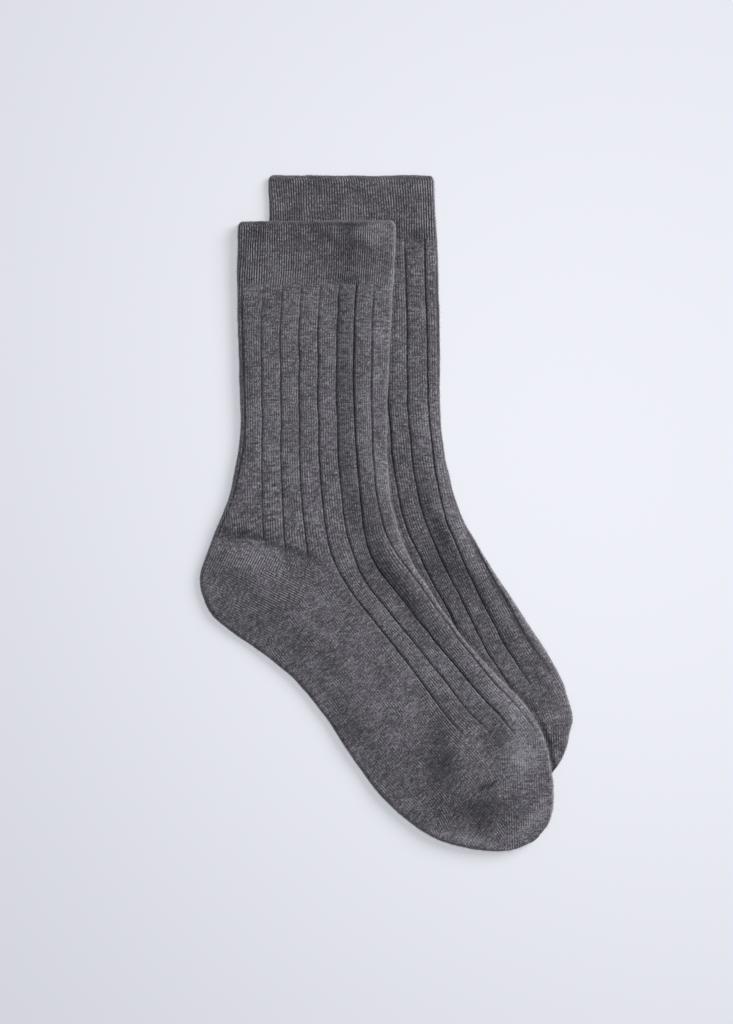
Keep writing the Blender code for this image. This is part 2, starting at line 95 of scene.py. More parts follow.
# %% Lines across the lower sock
LOWER_ROWS = {
    "cuff top": (-59.1, 169.9, 23.9, 169.9, 0.6, 6.0, 16.0, 26.0, 10.3, 9.0, 0.5, 3),
    "cuff base": (-58.3, 138.4, 25.7, 138.4, 1.0, 6.5, 16.5, 26.5, 10.3, 9.0, 0.5, 1),
    "leg top": (-58.2, 136.9, 25.8, 136.9, 1.0, 6.6, 16.6, 26.6, 10.3, 9.0, 0.5, 3),
    "upper leg": (-55.3, 112.5, 26.6, 112.5, 1.2, 6.8, 16.7, 26.6, 10.2, 9.0, 0.5, 3),
    "middle of leg": (-52.8, 82.3, 27.2, 82.3, 1.2, 6.6, 16.6, 26.5, 10.0, 9.0, 0.5, 2),
    "lower leg": (-51.3, 57.2, 27.2, 57.2, 0.9, 6.3, 16.4, 26.3, 9.8, 9.0, 0.6, 2),
    "above ankle": (-50.3, 41.1, 28.3, 39.8, 0.9, 5.8, 16.2, 26.0, 9.8, 8.5, 0.8, 2),
    "ankle": (-51.3, 26.0, 29.8, 27.2, 0.9, 6.1, 16.6, 26.4, 10.0, 8.0, 1.0, 2),
    "heel starts": (-54.8, 10.4, 32.3, 17.2, 0.9, 6.9, 17.5, 27.2, 10.4, 8.0, 1.2, 2),
    "heel back": (-64.4, -9.2, 35.1, 7.0, 0.8, 7.5, 18.1, 27.9, 11.5, 7.5, 1.4, 2),
    "heel corner": (-61.9, -27.3, 38.8, -3.0, 0.8, 8.4, 18.4, 28.2, 12.0, 7.5, 1.5, 2),
    "heel under": (-44.8, -41.4, 43.9, -11.4, 0.8, 9.6, 19.6, 28.7, 11.0, 7.5, 1.5, 2),
    "heel ends": (-28.7, -57.0, 50.0, -22.0, 1.7, 10.9, 20.5, 29.4, 10.0, 7.5, 1.5, 2),
    "arch": (-16.6, -70.1, 56.4, -32.0, 2.4, 12.4, 21.5, 30.0, 9.5, 7.0, 1.4, 2),
    "middle of foot": (-5.5, -85.2, 64.3, -44.7, 3.4, 14.0, 23.4, 32.0, 9.5, 7.0, 1.3, 2),
    "ball": (3.0, -98.9, 74.2, -59.6, 4.5, 15.6, 25.0, 33.6, 9.5, 6.5, 1.2, 2),
    "before toe": (10.6, -110.8, 83.0, -73.0, 4.3, 15.8, 25.2, 34.0, 9.5, 6.0, 0.9, 2),
    "toe starts": (17.1, -121.0, 88.4, -83.3, 3.9, 15.0, 24.6, 33.4, 9.5, 6.0, 0.6, 2),
    "toe widest": (23.2, -130.8, 91.8, -93.5, 3.5, 13.4, 23.0, 32.0, 9.5, 6.0, 0.3, 2),
    "toe corner": (30.7, -139.7, 94.0, -102.9, 3.5, 13.4, 23.0, 32.0, 9.5, 6.0, 0.0, 2),
    "toe narrows": (40.4, -146.7, 92.6, -110.3, 3.5, 13.4, 23.0, 32.0, 9.5, 6.0, 0.0, 2),
    "toe end": (51.0, -150.0, 90.5, -119.0, 3.5, 13.4, 23.0, 32.0, 9.5, 6.0, 0.0, 2),
    "toe rounds": (60.4, -150.0, 85.3, -128.3, 3.5, 13.4, 23.0, 32.0, 9.5, 6.0, 0.0, 2),
    "toe tip": (67.1, -148.2, 78.0, -137.0, 3.5, 13.4, 23.0, 32.0, 9.5, 6.0, 0.0, 0),
}

# %% [markdown]
# ## Creases
#
# A sock that has been smoothed by hand keeps a few soft marks: a pinch where the heel turns, a hollow
# over the ankle, waves across the leg and dents at the toe. Simulated cloth would make its own, in the
# wrong places, so each one is laid as a soft trough or ridge along a short line, with its own
# length, width and depth.

# %% Creases of each sock: from x, y to x, y, half width, height
UPPER_CREASES = (
    (-84.5, -12.5, -56.0, -15.5, 5.5, -1.60),
    (-62.0, -15.2, -38.0, -22.5, 2.4, -0.50),
    (-86.0, -25.0, -50.0, -30.0, 9.0, 0.45),
    (-80.0, -2.0, -56.0, -4.0, 5.0, 0.25),
    (-4.0, -28.0, 21.0, -60.0, 7.5, -0.70),
    (20.0, -52.0, 36.0, -74.0, 5.0, -0.35),
    (-19.5, 147.0, -16.0, 112.0, 8.5, -0.75),
    (-9.0, 150.0, -12.0, 126.0, 26.0, 0.80),
    (-62.0, 120.0, -38.0, 117.0, 4.0, -0.22),
    (-34.0, 117.2, -14.0, 115.0, 1.6, -0.45),
    (-72.0, 66.0, -50.0, 59.0, 5.0, 0.28),
    (-73.0, 52.0, -55.0, 45.0, 4.0, -0.22),
    (-44.0, 33.0, -22.0, 26.0, 5.5, 0.25),
    (-40.0, 8.0, -18.0, -3.0, 4.5, -0.28),
    (-34.0, 78.0, -18.0, 74.0, 4.5, 0.20),
    (-28.0, 52.0, -12.0, 50.0, 3.5, -0.20),
    (-74.0, -62.0, -48.0, -55.0, 5.5, -0.40),
    (-66.0, -44.0, -40.0, -40.0, 6.0, 0.30),
    (-36.0, -60.0, -18.0, -80.0, 7.0, 0.35),
    (-44.0, -78.0, -24.0, -102.0, 6.0, -0.30),
    (-20.0, -96.0, 2.0, -118.0, 8.0, 0.30),
    (26.0, -108.0, 23.0, -144.0, 9.0, -0.70),
    (37.0, -110.0, 36.0, -134.0, 11.0, 0.70),
    (32.0, -150.0, 60.0, -153.0, 8.0, -0.60),
    (44.0, -138.0, 66.0, -141.0, 12.0, 0.80),
    (58.0, -94.0, 65.0, -122.0, 13.0, 1.10),
    (46.5, -139.2, 55.5, -134.2, 2.0, -0.60),
    (37.0, -146.0, 43.0, -141.0, 3.0, -0.30),
    (70.0, -150.0, 78.0, -140.0, 5.0, 0.35),
)
LOWER_CREASES = (
    (-55.0, 164.0, -42.0, 160.0, 5.0, -0.40),
    (-36.0, 160.0, -26.0, 157.0, 4.0, -0.35),
    (-20.0, 166.0, 4.0, 161.0, 5.0, 0.22),
    (12.0, 144.0, 17.0, 134.0, 5.0, -0.45),
    (9.0, 104.0, 22.0, 100.0, 4.5, 0.20),
    (10.0, 72.0, 24.0, 66.0, 4.0, -0.20),
    (12.0, 44.0, 25.0, 37.0, 4.0, 0.22),
    (18.0, 4.0, 34.0, -22.0, 6.0, -0.60),
    (34.0, -26.0, 56.0, -58.0, 6.0, -0.45),
    (74.0, -72.0, 88.0, -96.0, 5.0, 0.45),
    (81.0, -113.0, 88.0, -121.0, 5.0, -0.60),
    (70.0, -104.5, 93.0, -102.0, 3.5, 0.25),
)

# %% [markdown]
# ## Painted shade and light
#
# The wool's grey is painted darker or lighter in soft strokes: painted shade where the folds, creases,
# grooves and the cuff's rim would shade it, and painted light where it faces the light or its edge
# catches it. They are laid like the creases, and the last number is how much lighter or darker the wool
# is there. Noise alone would scatter them where the real sock has none.

# %% Painted shade and light of each sock: from x, y to x, y, half width, lighter or darker
UPPER_PAINTED_SHADING = (
    (-58.0, 143.0, -24.0, 140.0, 16.0, -0.09),
    (-28.0, 143.0, -21.0, 118.0, 7.0, -0.07),
    (-34.0, 117.5, -15.0, 116.5, 2.4, -0.14),
    (-70.0, 62.0, -64.0, 18.0, 14.0, 0.06),
    (-84.0, -9.0, -57.0, -13.0, 6.5, -0.20),
    (-60.0, -16.0, -38.0, -22.0, 3.0, -0.08),
    (-86.0, -24.0, -48.0, -32.0, 12.0, 0.03),
    (-50.0, -60.0, -34.0, -70.0, 7.0, -0.05),
    (-2.0, -22.0, 16.0, -54.0, 15.0, -0.18),
    (-10.0, 12.0, 3.0, -12.0, 12.0, -0.09),
    (-20.5, 108.0, -20.8, 40.0, 3.6, 0.02),
    (-15.2, 112.0, -16.4, 58.0, 1.7, -0.10),
    (-16.4, 62.0, -14.8, 24.0, 1.7, -0.08),
    (0.5, 112.0, 1.0, 22.0, 3.0, -0.08),
    (-52.0, 145.4, 2.0, 145.4, 2.0, -0.12),
    (26.0, -106.0, 24.0, -146.0, 16.0, -0.23),
    (28.0, -147.0, 62.0, -152.0, 12.0, -0.24),
    (46.5, -139.2, 55.5, -134.2, 1.9, -0.42),
    (38.5, -140.5, 42.0, -139.5, 2.0, -0.18),
    (44.0, -157.0, 54.0, -154.0, 4.0, -0.14),
    (65.0, -112.0, 72.0, -132.0, 11.0, 0.26),
    (50.0, -82.0, 70.0, -108.0, 10.0, 0.14),
    (66.0, -163.0, 80.0, -148.0, 7.0, 0.18),
    (14.0, -157.0, 60.0, -168.0, 5.0, 0.20),
    (-62.0, -70.0, 14.0, -156.0, 2.5, 0.08),
)
LOWER_PAINTED_SHADING = (
    (-54.0, 165.0, -20.0, 160.0, 9.0, -0.10),
    (-10.0, 158.0, 20.0, 152.0, 14.0, -0.03),
    (12.0, 142.0, 19.0, 135.0, 5.0, -0.13),
    (12.0, 2.0, 42.0, -50.0, 17.0, -0.20),
    (4.0, 36.0, 12.0, 4.0, 10.0, -0.07),
    (27.0, 110.0, 29.0, 30.0, 4.5, -0.10),
    (31.0, 20.0, 54.0, -30.0, 5.5, -0.07),
    (60.0, -40.0, 88.0, -88.0, 5.0, -0.05),
    (34.0, 8.0, 47.3, -22.0, 1.6, -0.30),
    (43.9, -14.5, 57.0, -40.5, 1.6, -0.30),
    (53.0, -33.0, 69.0, -61.0, 1.5, -0.28),
    (64.0, -53.0, 80.8, -78.6, 1.5, -0.28),
    (72.0, -103.0, 93.0, -101.0, 2.5, 0.16),
    (82.0, -114.0, 86.0, -118.0, 5.0, -0.08),
)

# %% [markdown]
# ## Where the wales show
#
# Where the heel and the toe are pulled round, the plain knitting opens and its wales show as fine streaks,
# drawn as painted shade between the wales. These strokes say where, and how strongly. Elsewhere the wool's
# fuzz hides most of them.

# %% Pulled places of each sock: from x, y to x, y, half width, how strongly
UPPER_PULLED = (
    (-88.0, -20.0, -42.0, -31.0, 9.0, 1.0),
    (-72.0, -49.0, -40.0, -38.0, 9.0, 0.9),
    (-84.0, -7.0, -58.0, -11.0, 6.0, 0.7),
    (24.0, -94.0, 38.0, -122.0, 6.0, 0.8),
    (16.0, -138.0, 36.0, -151.0, 8.0, 0.6),
    (56.0, -154.0, 64.0, -165.0, 8.0, 0.8),
)
LOWER_PULLED = ((78.0, -108.0, 90.0, -120.0, 6.0, 0.6),)

# %% [markdown]
# ## How each sock differs
#
# The same steps make both socks. What differs is gathered here: how many grooves it has and how many of
# them run on over the foot, how strongly each one shows and over what length it starts below the cuff,
# where the cuff ends, and where the ribs stop at the heel and the toe. A line is two points, and the ribbed
# cloth lies to the left of the way from the first to the second. The last number, peek, is how far the rim
# of the under layer shows past the top one's.

# %% The two socks
UPPER_SOCK = {
    "rows": UPPER_ROWS,
    "creases": UPPER_CREASES,
    "painted_shading_strokes": UPPER_PAINTED_SHADING,
    "pulled_places": UPPER_PULLED,
    "grooves": 8,
    "foot_grooves": 4,
    "groove_strength": (0.95, 1.30, 0.85, 0.95, 0.85, 0.75, 0.6, 0.95),
    "groove_starts": (20.0, 2.0, 12.0, 25.0, 30.0, 40.0, 60.0, 15.0),
    "first_whole_rib": 1,
    "cuff_base_y": 115.5,
    "heel_line": ((-84.5, -10.7), (-38.7, -21.8)),
    "gore_line": ((-91.0, -32.3), (-28.2, -25.8)),
    "gore_end": ((-28.2, -25.8), (-62.4, -70.1)),
    "toe_line": ((37.2, -112.5), (74.4, -108.3)),
    "toe_start": ((30.0, -133.0), (76.0, -112.0)),
    "toe_gore": ((60.0, -165.0), (56.0, -118.0)),
    "peek": 0.9,
}
LOWER_SOCK = {
    "rows": LOWER_ROWS,
    "creases": LOWER_CREASES,
    "painted_shading_strokes": LOWER_PAINTED_SHADING,
    "pulled_places": LOWER_PULLED,
    "grooves": 9,
    "foot_grooves": 5,
    "groove_strength": (1.6, 1.05, 0.95, 1.0, 1.0, 0.9, 0.9, 0.9, 1.0),
    "groove_starts": (5.0, 6.0, 20.0, 10.0, 10.0, 10.0, 10.0, 10.0, 10.0),
    "first_whole_rib": 2,
    "cuff_base_y": 138.4,
    "heel_line": ((-60.0, 2.0), (0.0, -14.0)),
    "gore_line": ((-64.0, -14.0), (0.0, -14.0)),
    "gore_end": ((0.0, -14.0), (-28.7, -57.0)),
    "toe_line": ((62.0, -90.0), (85.0, -81.5)),
    "toe_start": ((58.0, -107.2), (93.6, -102.8)),
    "toe_gore": ((60.0, -150.0), (60.0, -100.0)),
    "peek": 0.0,
}

# %% [markdown]
# ## Smooth rings
#
# The table's lines are a hand's width apart at most, so a cubic runs through them with no kink, and rings
# are read from it a few millimetres apart. A Bezier curve for each fold would do the same, but then the
# grooves would need curves of their own. Extra rings stand close together at the cuff's edge, which is
# rounded.

# %% Read rings from the lines
FINER = 4  # how many times finer than the solid
EDGE_RINGS = (0.004, 0.012, 0.024, 0.045)  # more of them, as shares of the cuff's depth
CORNER_ROUNDING = 3.0  # how far below the rim the cuff's two corners start to round
CORNER_INSET = 1.8  # and how far they come in


def ease(value):
    """0 below 0, 1 above 1, and a soft S between."""
    share = np.clip(value, 0.0, 1.0)
    return share * share * (3.0 - 2.0 * share)


def smooth_rings(sock):
    """The table's columns read at every ring, and each ring's two folds and its width."""
    rows = np.array(list(sock["rows"].values()))
    steps = rows[1:, :4] - rows[:-1, :4]
    lengths = (np.hypot(steps[:, 0], steps[:, 1]) + np.hypot(steps[:, 2], steps[:, 3])) / 2
    slopes = (rows[1:] - rows[:-1]) / lengths[:, None]
    before = np.vstack([slopes[:1], slopes])
    after = np.vstack([slopes, slopes[-1:]])
    length_before = np.append(lengths[:1], lengths)[:, None]
    length_after = np.append(lengths, lengths[-1:])[:, None]
    tangents = (before * length_after + after * length_before) / (length_before + length_after)
    rings = []
    for index, length in enumerate(lengths):
        count = rows[index, -1] * FINER
        shares = np.arange(count) / count
        if index == 0:
            shares = np.union1d(shares, EDGE_RINGS)
        for share in shares:
            start = rows[index] + slopes[index] * length * ease(share)
            out = share * (1 - share) ** 2 * length * tangents[index]
            back = share**2 * (1 - share) * length * tangents[index + 1]
            rings.append(start + out - back)
    rings.append(rows[-1])
    table = dict(zip(COLUMNS, np.array(rings).T))
    front = np.column_stack([table["front_x"], table["front_y"]])
    back = np.column_stack([table["back_x"], table["back_y"]])
    from_rim = np.clip((front[0, 1] - front[:, 1]) / CORNER_ROUNDING, 0, 1)
    inset = CORNER_INSET * (1 - np.sqrt(1 - (1 - from_rim) ** 2))
    front[:, 0] -= inset
    back[:, 0] += inset
    return {"table": table, "front": front, "back": back, "width": np.hypot(*(back - front).T)}


for sock in (UPPER_SOCK, LOWER_SOCK):
    sock["rings"] = smooth_rings(sock)
    print(len(sock["rings"]["width"]), "rings, widest", round(sock["rings"]["width"].max(), 1), "mm")

# %% [markdown]
# ## Wales
#
# A wale is one column of knit stitches. Here a wide rib is seven knit wales and one purl wale that sinks
# between them as the groove, so there are eight wales from groove to groove, each about 1.2 mm wide. The
# mesh has four columns to a wale, so its edges run along the knitting and no rib is cut across.

# %% Columns along the wales
PATTERN_WIDTH = 74.0  # a sock's pattern fits this width, and narrows with the toe
LAST_GROOVE_INSET = 2.2  # from the groove beside the back fold to that fold
MEASURED_GROOVES = 4
WALES_PER_RIB = 8
COLUMNS_PER_RIB = 4 * WALES_PER_RIB
FIRST_COLUMNS = 6  # where the first groove lies almost on the front fold
LAST_COLUMNS = 8  # between the last groove and the back fold
WALE = 1.2  # width of a wale where no groove sets it
COURSE = 0.95  # height of a row of stitches


def groove_places(sock):
    """How far each groove is from the front fold: one line for each ring."""
    rings = sock["rings"]
    scale = np.minimum(1.0, rings["width"] / PATTERN_WIDTH)
    places = [rings["table"][f"groove_{number + 1}"] * scale for number in range(MEASURED_GROOVES)]
    while len(places) < sock["grooves"] - 1:
        places.append(places[-1] + rings["table"]["back_pitch"] * scale)
    places.append(rings["width"] - LAST_GROOVE_INSET * scale)
    return np.array(places).T, scale


def column_shares(sock):
    """For each column of the top layer: the stretch between grooves that it is in, and how far across."""
    counts = [COLUMNS_PER_RIB] * (sock["grooves"] - 1) + [2 * COLUMNS_PER_RIB, LAST_COLUMNS]
    if sock["first_whole_rib"] == 2:
        counts[0] = FIRST_COLUMNS
    stretch = np.repeat(np.arange(len(counts)), counts)
    share = np.concatenate([np.arange(count) / count for count in counts])
    return np.append(stretch, len(counts) - 1), np.append(share, 1.0)


def distances_across(sock):
    """How far every point of the top layer is from the front fold, and its count of wales."""
    places, scale = groove_places(sock)
    anchors = np.column_stack([np.zeros(len(places)), places, sock["rings"]["width"]])
    stretch, share = column_shares(sock)
    along = anchors[:, stretch] * (1 - share) + anchors[:, stretch + 1] * share
    wales = WALES_PER_RIB * (stretch + share) + np.zeros_like(along)
    # before the first whole rib the wales keep its spacing, and past the last one they keep their own
    first, last = sock["first_whole_rib"], sock["grooves"] - 2
    first_place, last_place = places[:, [first - 1]], places[:, [last]]
    pitch = (places[:, [first]] - first_place) / WALES_PER_RIB
    counted_back = WALES_PER_RIB * first - (first_place - along) / pitch
    counted_on = WALES_PER_RIB * (last + 1) + (along - last_place) / WALE
    wales = np.where(along < first_place, counted_back, wales)
    return along, np.where(along > last_place, counted_on, wales), places, scale


for sock in (UPPER_SOCK, LOWER_SOCK):
    sock["along"], sock["wales"], sock["places"], sock["scale"] = distances_across(sock)
    print(sock["along"].shape, "points in the top layer")

# %% [markdown]
# ## Relief of the knit
#
# Ribs are raised knitting over sunk grooves, so they belong in the shape and not only in the shading. The
# relief adds up from a plain face, a rounded crown on each rib, a narrow groove, the fine one-by-one ribs
# of the cuff, and each wale's own small rise. A groove fades where the plain heel and toe begin, and
# wanders a little in depth, as pulled knitting does.

# %% Repeatable unevenness: each soft noise by its most, its size in mm and its seed
NOISE_CELLS = 128  # after which a noise repeats, far outside the pair
ASIDE = ((0.28, 11.0, 31), (0.14, 3.5, 32))
ALONG = ((0.22, 9.0, 33), (0.10, 3.0, 34))


def soft_noise(points, size, seed):
    """Smooth values from -1 to 1 that change over about size millimetres, the same ones each time."""
    grid = np.random.default_rng(seed).uniform(-1, 1, (NOISE_CELLS, NOISE_CELLS))
    column, row = points[..., 0] / size, points[..., 1] / size
    left, low = np.floor(column).astype(int), np.floor(row).astype(int)
    across, up = ease(column - left), ease(row - low)
    left, right = left % NOISE_CELLS, (left + 1) % NOISE_CELLS
    low, high = low % NOISE_CELLS, (low + 1) % NOISE_CELLS
    lower = grid[low, left] * (1 - across) + grid[low, right] * across
    upper = grid[high, left] * (1 - across) + grid[high, right] * across
    return lower * (1 - up) + upper * up


def with_noise(values, points, noises):
    """The values with soft noises added."""
    for most, size, seed in noises:
        values = values + most * soft_noise(points, size, seed)
    return values


def wander(points):
    """The points, moved sideways a little, so that no fold or groove is drawn with a ruler."""
    aside, along = with_noise(0.0, points, ASIDE), with_noise(0.0, points, ALONG)
    return points + np.stack([aside, along], axis=-1)


# %% Sizes of the relief
KNIT_LOFT = 0.6  # what a plain knitted face stands above the bottom of a groove
RIB_CROWN = 0.35  # how much a rib's middle is higher still
GROOVE_HALF_WIDTH = 1.0  # the purl wale and the sides of the ribs that it pulls down
GROOVE_DEPTH = 0.76  # of a groove of strength 1
CUFF_RIB = 0.26  # half the height of the cuff's one-by-one ribs
LEG_WALE = 0.09  # half the height of one knit wale
RIB_START_LENGTH = 1.2  # over which the cuff's fine ribs end
RIB_END_LENGTH = 8.0  # over which the wide ribs fade at the heel and the toe
TOE_FADE_LENGTH = 26.0  # and over which they get fainter on the way to the toe
FAINTEST = 0.45  # down to this share there
TURNED_UNDER = 0.3  # a groove nearer the fold than this has turned under
FULL_GROOVE = 1.5  # and one this far in has its full depth
GROOVE_NOISES = ((0.25, 7.0, 11), (0.22, 2.2, 12))
print("a rib stands", round(RIB_CROWN + GROOVE_DEPTH, 2), "mm above the grooves beside it")


# %% Where the grooves run, and how deep
def side_of(line, points):
    """How far each point is to the left of the way along the line."""
    start, end = np.array(line)
    along = (end - start) / np.hypot(*(end - start))
    return (points[..., 1] - start[1]) * along[0] - (points[..., 0] - start[0]) * along[1]


def groove_depths(sock, points):
    """How deep each groove is at each point, from 0 to 1."""
    below_cuff = sock["cuff_base_y"] - points[..., 1]
    to_toe = side_of(sock["toe_line"], points)
    fainter = FAINTEST + (1 - FAINTEST) * ease(to_toe / TOE_FADE_LENGTH)
    before_toe = ease(0.5 + to_toe / RIB_END_LENGTH) * fainter
    above_heel = ease(0.5 + side_of(sock["heel_line"], points) / RIB_END_LENGTH)
    depths = []
    for number in range(sock["grooves"]):
        reach = before_toe if number < sock["foot_grooves"] else above_heel
        from_fold = sock["places"][:, [number]]
        turned = ease((from_fold - TURNED_UNDER) / (FULL_GROOVE - TURNED_UNDER))
        started = 0.5 * np.clip(below_cuff / RIB_START_LENGTH, 0, 1)
        started += 0.5 * ease(below_cuff / sock["groove_starts"][number])
        depths.append(started * reach * turned)
    return depths


# %% Add the relief up
def wale_wave(sock):
    """1 on the middle of each wale and -1 between two of them."""
    return np.cos(2 * np.pi * (sock["wales"] + 0.5))


def knit_relief(sock, points):
    """Height of the top face, and how far each point is in a groove, on the cuff and on a wide rib."""
    along, places, scale = sock["along"], sock["places"], sock["scale"][:, None]
    depths = groove_depths(sock, points)
    relief = np.full(along.shape, KNIT_LOFT)
    sunk, ribbed = np.zeros(along.shape), np.zeros(along.shape)
    for number in range(sock["grooves"] - 1):
        start, end = places[:, [number]], places[:, [number + 1]]
        share = np.clip((along - start) / (end - start), 0, 1)
        inside = depths[number] * depths[number + 1]
        relief += RIB_CROWN * 4 * share * (1 - share) * inside
        ribbed = np.maximum(ribbed, inside * (share > 0) * (share < 1))
    waver = with_noise(1.0, points, GROOVE_NOISES)
    for number, depth in enumerate(depths):
        near = np.abs(along - places[:, [number]]) / (GROOVE_HALF_WIDTH * scale)
        groove = depth * (1 - ease(near))
        relief -= GROOVE_DEPTH * sock["groove_strength"][number] * waver * groove
        sunk = np.maximum(sunk, groove)
    on_cuff = 1 - np.clip((sock["cuff_base_y"] - points[..., 1]) / RIB_START_LENGTH, 0, 1)
    relief += wale_wave(sock) * (CUFF_RIB * on_cuff + LEG_WALE * ribbed)
    return relief, {"sunk": sunk, "on_cuff": on_cuff, "ribbed": ribbed}


# %% [markdown]
# ## Lying on the table and on each other
#
# The lower sock lies flat on the table. The upper one lies partly on it and comes down to the table beyond
# its outline, so the height it rests at is a soft slope in the distance from that outline. A cloth
# simulation could find the same slope, but it would also move the outline, which is already right.

# %% Heights the layers rest at
WALL = 1.2  # one layer of knit
HOLLOW = 0.5  # air between the two layers of a sock
LOWER_SOCK_THICKNESS = 2 * WALL + HOLLOW + 0.8  # with its relief
REST_HEIGHT = LOWER_SOCK_THICKNESS + 0.45  # with the air between the two socks
SLOPE_STARTS = 2.0  # the upper sock starts to come down this far outside the lower one
UNDERSIDE_SLOPE = 13.0  # its underside reaches the table over this length
TOP_SLOPE = 40.0  # and its top, which the wool's thickness carries further, over this one


def outline_of(sock):
    """The sock's folds as one closed line of points."""
    return np.vstack([sock["rings"]["front"], sock["rings"]["back"][::-1]])


def distance_inside(outline, points):
    """How far each point is inside the outline, and negative outside."""
    nearest = np.full(points.shape[:-1], np.inf)
    crossings = np.zeros(points.shape[:-1], int)
    for start, end in zip(outline, np.roll(outline, -1, axis=0)):
        edge = end - start
        share = np.clip((points - start) @ edge / (edge @ edge), 0, 1)
        away = points - start - share[..., None] * edge
        nearest = np.minimum(nearest, np.hypot(away[..., 0], away[..., 1]))
        straddles = (start[1] > points[..., 1]) != (end[1] > points[..., 1])
        height_share = (points[..., 1] - start[1]) / (edge[1] if edge[1] else 1.0)
        crossings += straddles & (points[..., 0] < start[0] + height_share * edge[0])
    return np.where(crossings % 2 == 1, nearest, -nearest)


def rest_heights(under, points):
    """The height that the underside and the top layer rest at: on the table, or on the sock below."""
    if under is None:
        return np.zeros(points.shape[:-1]), np.zeros(points.shape[:-1])
    outside = -distance_inside(under, points) - SLOPE_STARTS
    return (
        REST_HEIGHT * (1 - ease(outside / UNDERSIDE_SLOPE)),
        REST_HEIGHT * (1 - ease(outside / TOP_SLOPE)),
    )


print("the upper sock rests", round(REST_HEIGHT, 2), "mm above the table where the lower one is under it")

# %% The ridge at the fold, and what the upper sock presses down
RIDGE_TOP = 1.5  # half of what stays level on top of the ridge
RIDGE_FLANK = 15.0  # from its crest to where the cloth is flat again
RIDGE_TIMES = 1.6  # the soft cloth stands a little prouder than the solid
PRESSED = 0.50  # how deep the upper sock presses the lower one
PRESSED_MORE = ((0.10, 20.0, 30.0), (0.80, -96.0, 16.0))  # and more: below which y, and over what length
PRESSED_EDGE = 0.6  # this far outside the upper sock the lower one starts to come up again
PRESSED_REACH = 2.8  # and this much further out it is up


def ridge(sock, along, which=slice(None)):
    """The soft ridge that the cloth keeps beside the front fold, on the given rings."""
    table = sock["rings"]["table"]
    crest = (table["ridge_at"] * sock["scale"])[which, None]
    rise = np.sin(np.pi / 2 * np.clip(along / crest, 0, 1))
    fall = 1 - ease((along - crest - RIDGE_TOP) / (RIDGE_FLANK - 2 * RIDGE_TOP))
    return RIDGE_TIMES * table["ridge_height"][which, None] * rise * fall


def pressed(sock, points):
    """How far the upper sock's weight presses the lower one down, under it and just outside it."""
    if sock is UPPER_SOCK:
        return np.zeros(points.shape[:-1])
    outside = -distance_inside(outline_of(UPPER_SOCK), points)
    depth = PRESSED
    for more, below, over in PRESSED_MORE:
        depth = depth + more * ease((below - points[..., 1]) / over)
    return depth * (1 - ease((outside - PRESSED_EDGE) / PRESSED_REACH))


print("the lower sock is pressed down by", PRESSED, "mm, and more by", [row[0] for row in PRESSED_MORE])

# %% [markdown]
# ## From creases to heights
#
# Each crease raises or lowers the cloth around its line. It is full in the middle and fades to both ends
# and to both sides. On top of them goes a very slight unevenness, because no knitted face is quite level.

# %% Add the creases up
CREASE_TIMES = 1.5  # wool is thick and soft, so its creases are deeper than those of thin cloth
STROKE_ENDS = 0.35  # what is left of a stroke at its two ends
FACE_NOISES = ((0.20, 13.0, 21), (0.07, 5.0, 22), (0.03, 2.2, 23))


def soft_strokes(rows, points):
    """The sum of soft strokes along short lines, each full in its middle and faded at its ends and sides."""
    total = np.zeros(points.shape[:-1])
    for start_x, start_y, end_x, end_y, half_width, most in rows:
        start, end = np.array([start_x, start_y]), np.array([end_x, end_y])
        way = end - start
        share = np.clip((points - start) @ way / (way @ way), 0, 1)
        away = points - start - share[..., None] * way
        across = np.hypot(away[..., 0], away[..., 1]) / half_width
        fade = STROKE_ENDS + (1 - STROKE_ENDS) * np.sin(np.pi * share)
        total += most * fade * (1 - ease(across))
    return total


def crease_height(sock, points):
    """How much the creases and the slight unevenness raise each point."""
    return with_noise(CREASE_TIMES * soft_strokes(sock["creases"], points), points, FACE_NOISES)


for sock in (UPPER_SOCK, LOWER_SOCK):
    depths = [CREASE_TIMES * row[-1] for row in sock["creases"]]
    print(len(depths), "creases, from", round(min(depths), 2), "to", round(max(depths), 2), "mm")

# %% [markdown]
# ## The knitted wall
#
# A sock lies as two layers that meet at its folds. The wall is built as closed rings: over the top from
# the front fold to the back one, and back underneath. A second, smaller set of rings is its inside, and
# the two meet at the cuff's rim, so the mouth of the sock is really open and the cloth has a thickness.
# The toe closes with ever smaller rings.

# %% How full the sock is
FOLD_ROUNDING = 2.4  # how far in from a fold the sock reaches its full thickness
RIM_ROUNDING = 0.75  # how far the cuff's turned edge rounds over
RIM_SHARE = 0.45  # of the full thickness, left at the very rim


def quarter_round(distance, rounding):
    """From 0 at a fold to 1 where its rounding ends."""
    return np.sqrt(1 - (1 - np.clip(distance / rounding, 0, 1)) ** 2)


def spaced(count, spread):
    """Shares from 0 to 1: evenly with a spread of 1, and with less, closer together near both ends."""
    share = np.linspace(0, 1, count)
    return spread * share + (1 - spread) * (0.5 - 0.5 * np.cos(np.pi * share))


def place_across(sock, along, which=slice(None)):
    """Points on the given rings, at the given distances from the front fold."""
    front, back = sock["rings"]["front"][which], sock["rings"]["back"][which]
    share = along / sock["rings"]["width"][which][:, None]
    return front[:, None] + (back - front)[:, None] * share[..., None]


def below_rim(sock, points):
    """How far each point is below the cuff's rim."""
    return sock["rings"]["front"][0, 1] - points[..., 1]


def fullness(sock, points, along):
    """The share of its thickness that the sock has: less towards the folds and the cuff's rim."""
    width = sock["rings"]["width"][:, None]
    from_fold = np.minimum(along, width - along)
    at_folds = quarter_round(from_fold, np.minimum(FOLD_ROUNDING, width / 2))
    at_rim = RIM_SHARE + (1 - RIM_SHARE) * quarter_round(below_rim(sock, points), RIM_ROUNDING)
    return at_folds * at_rim


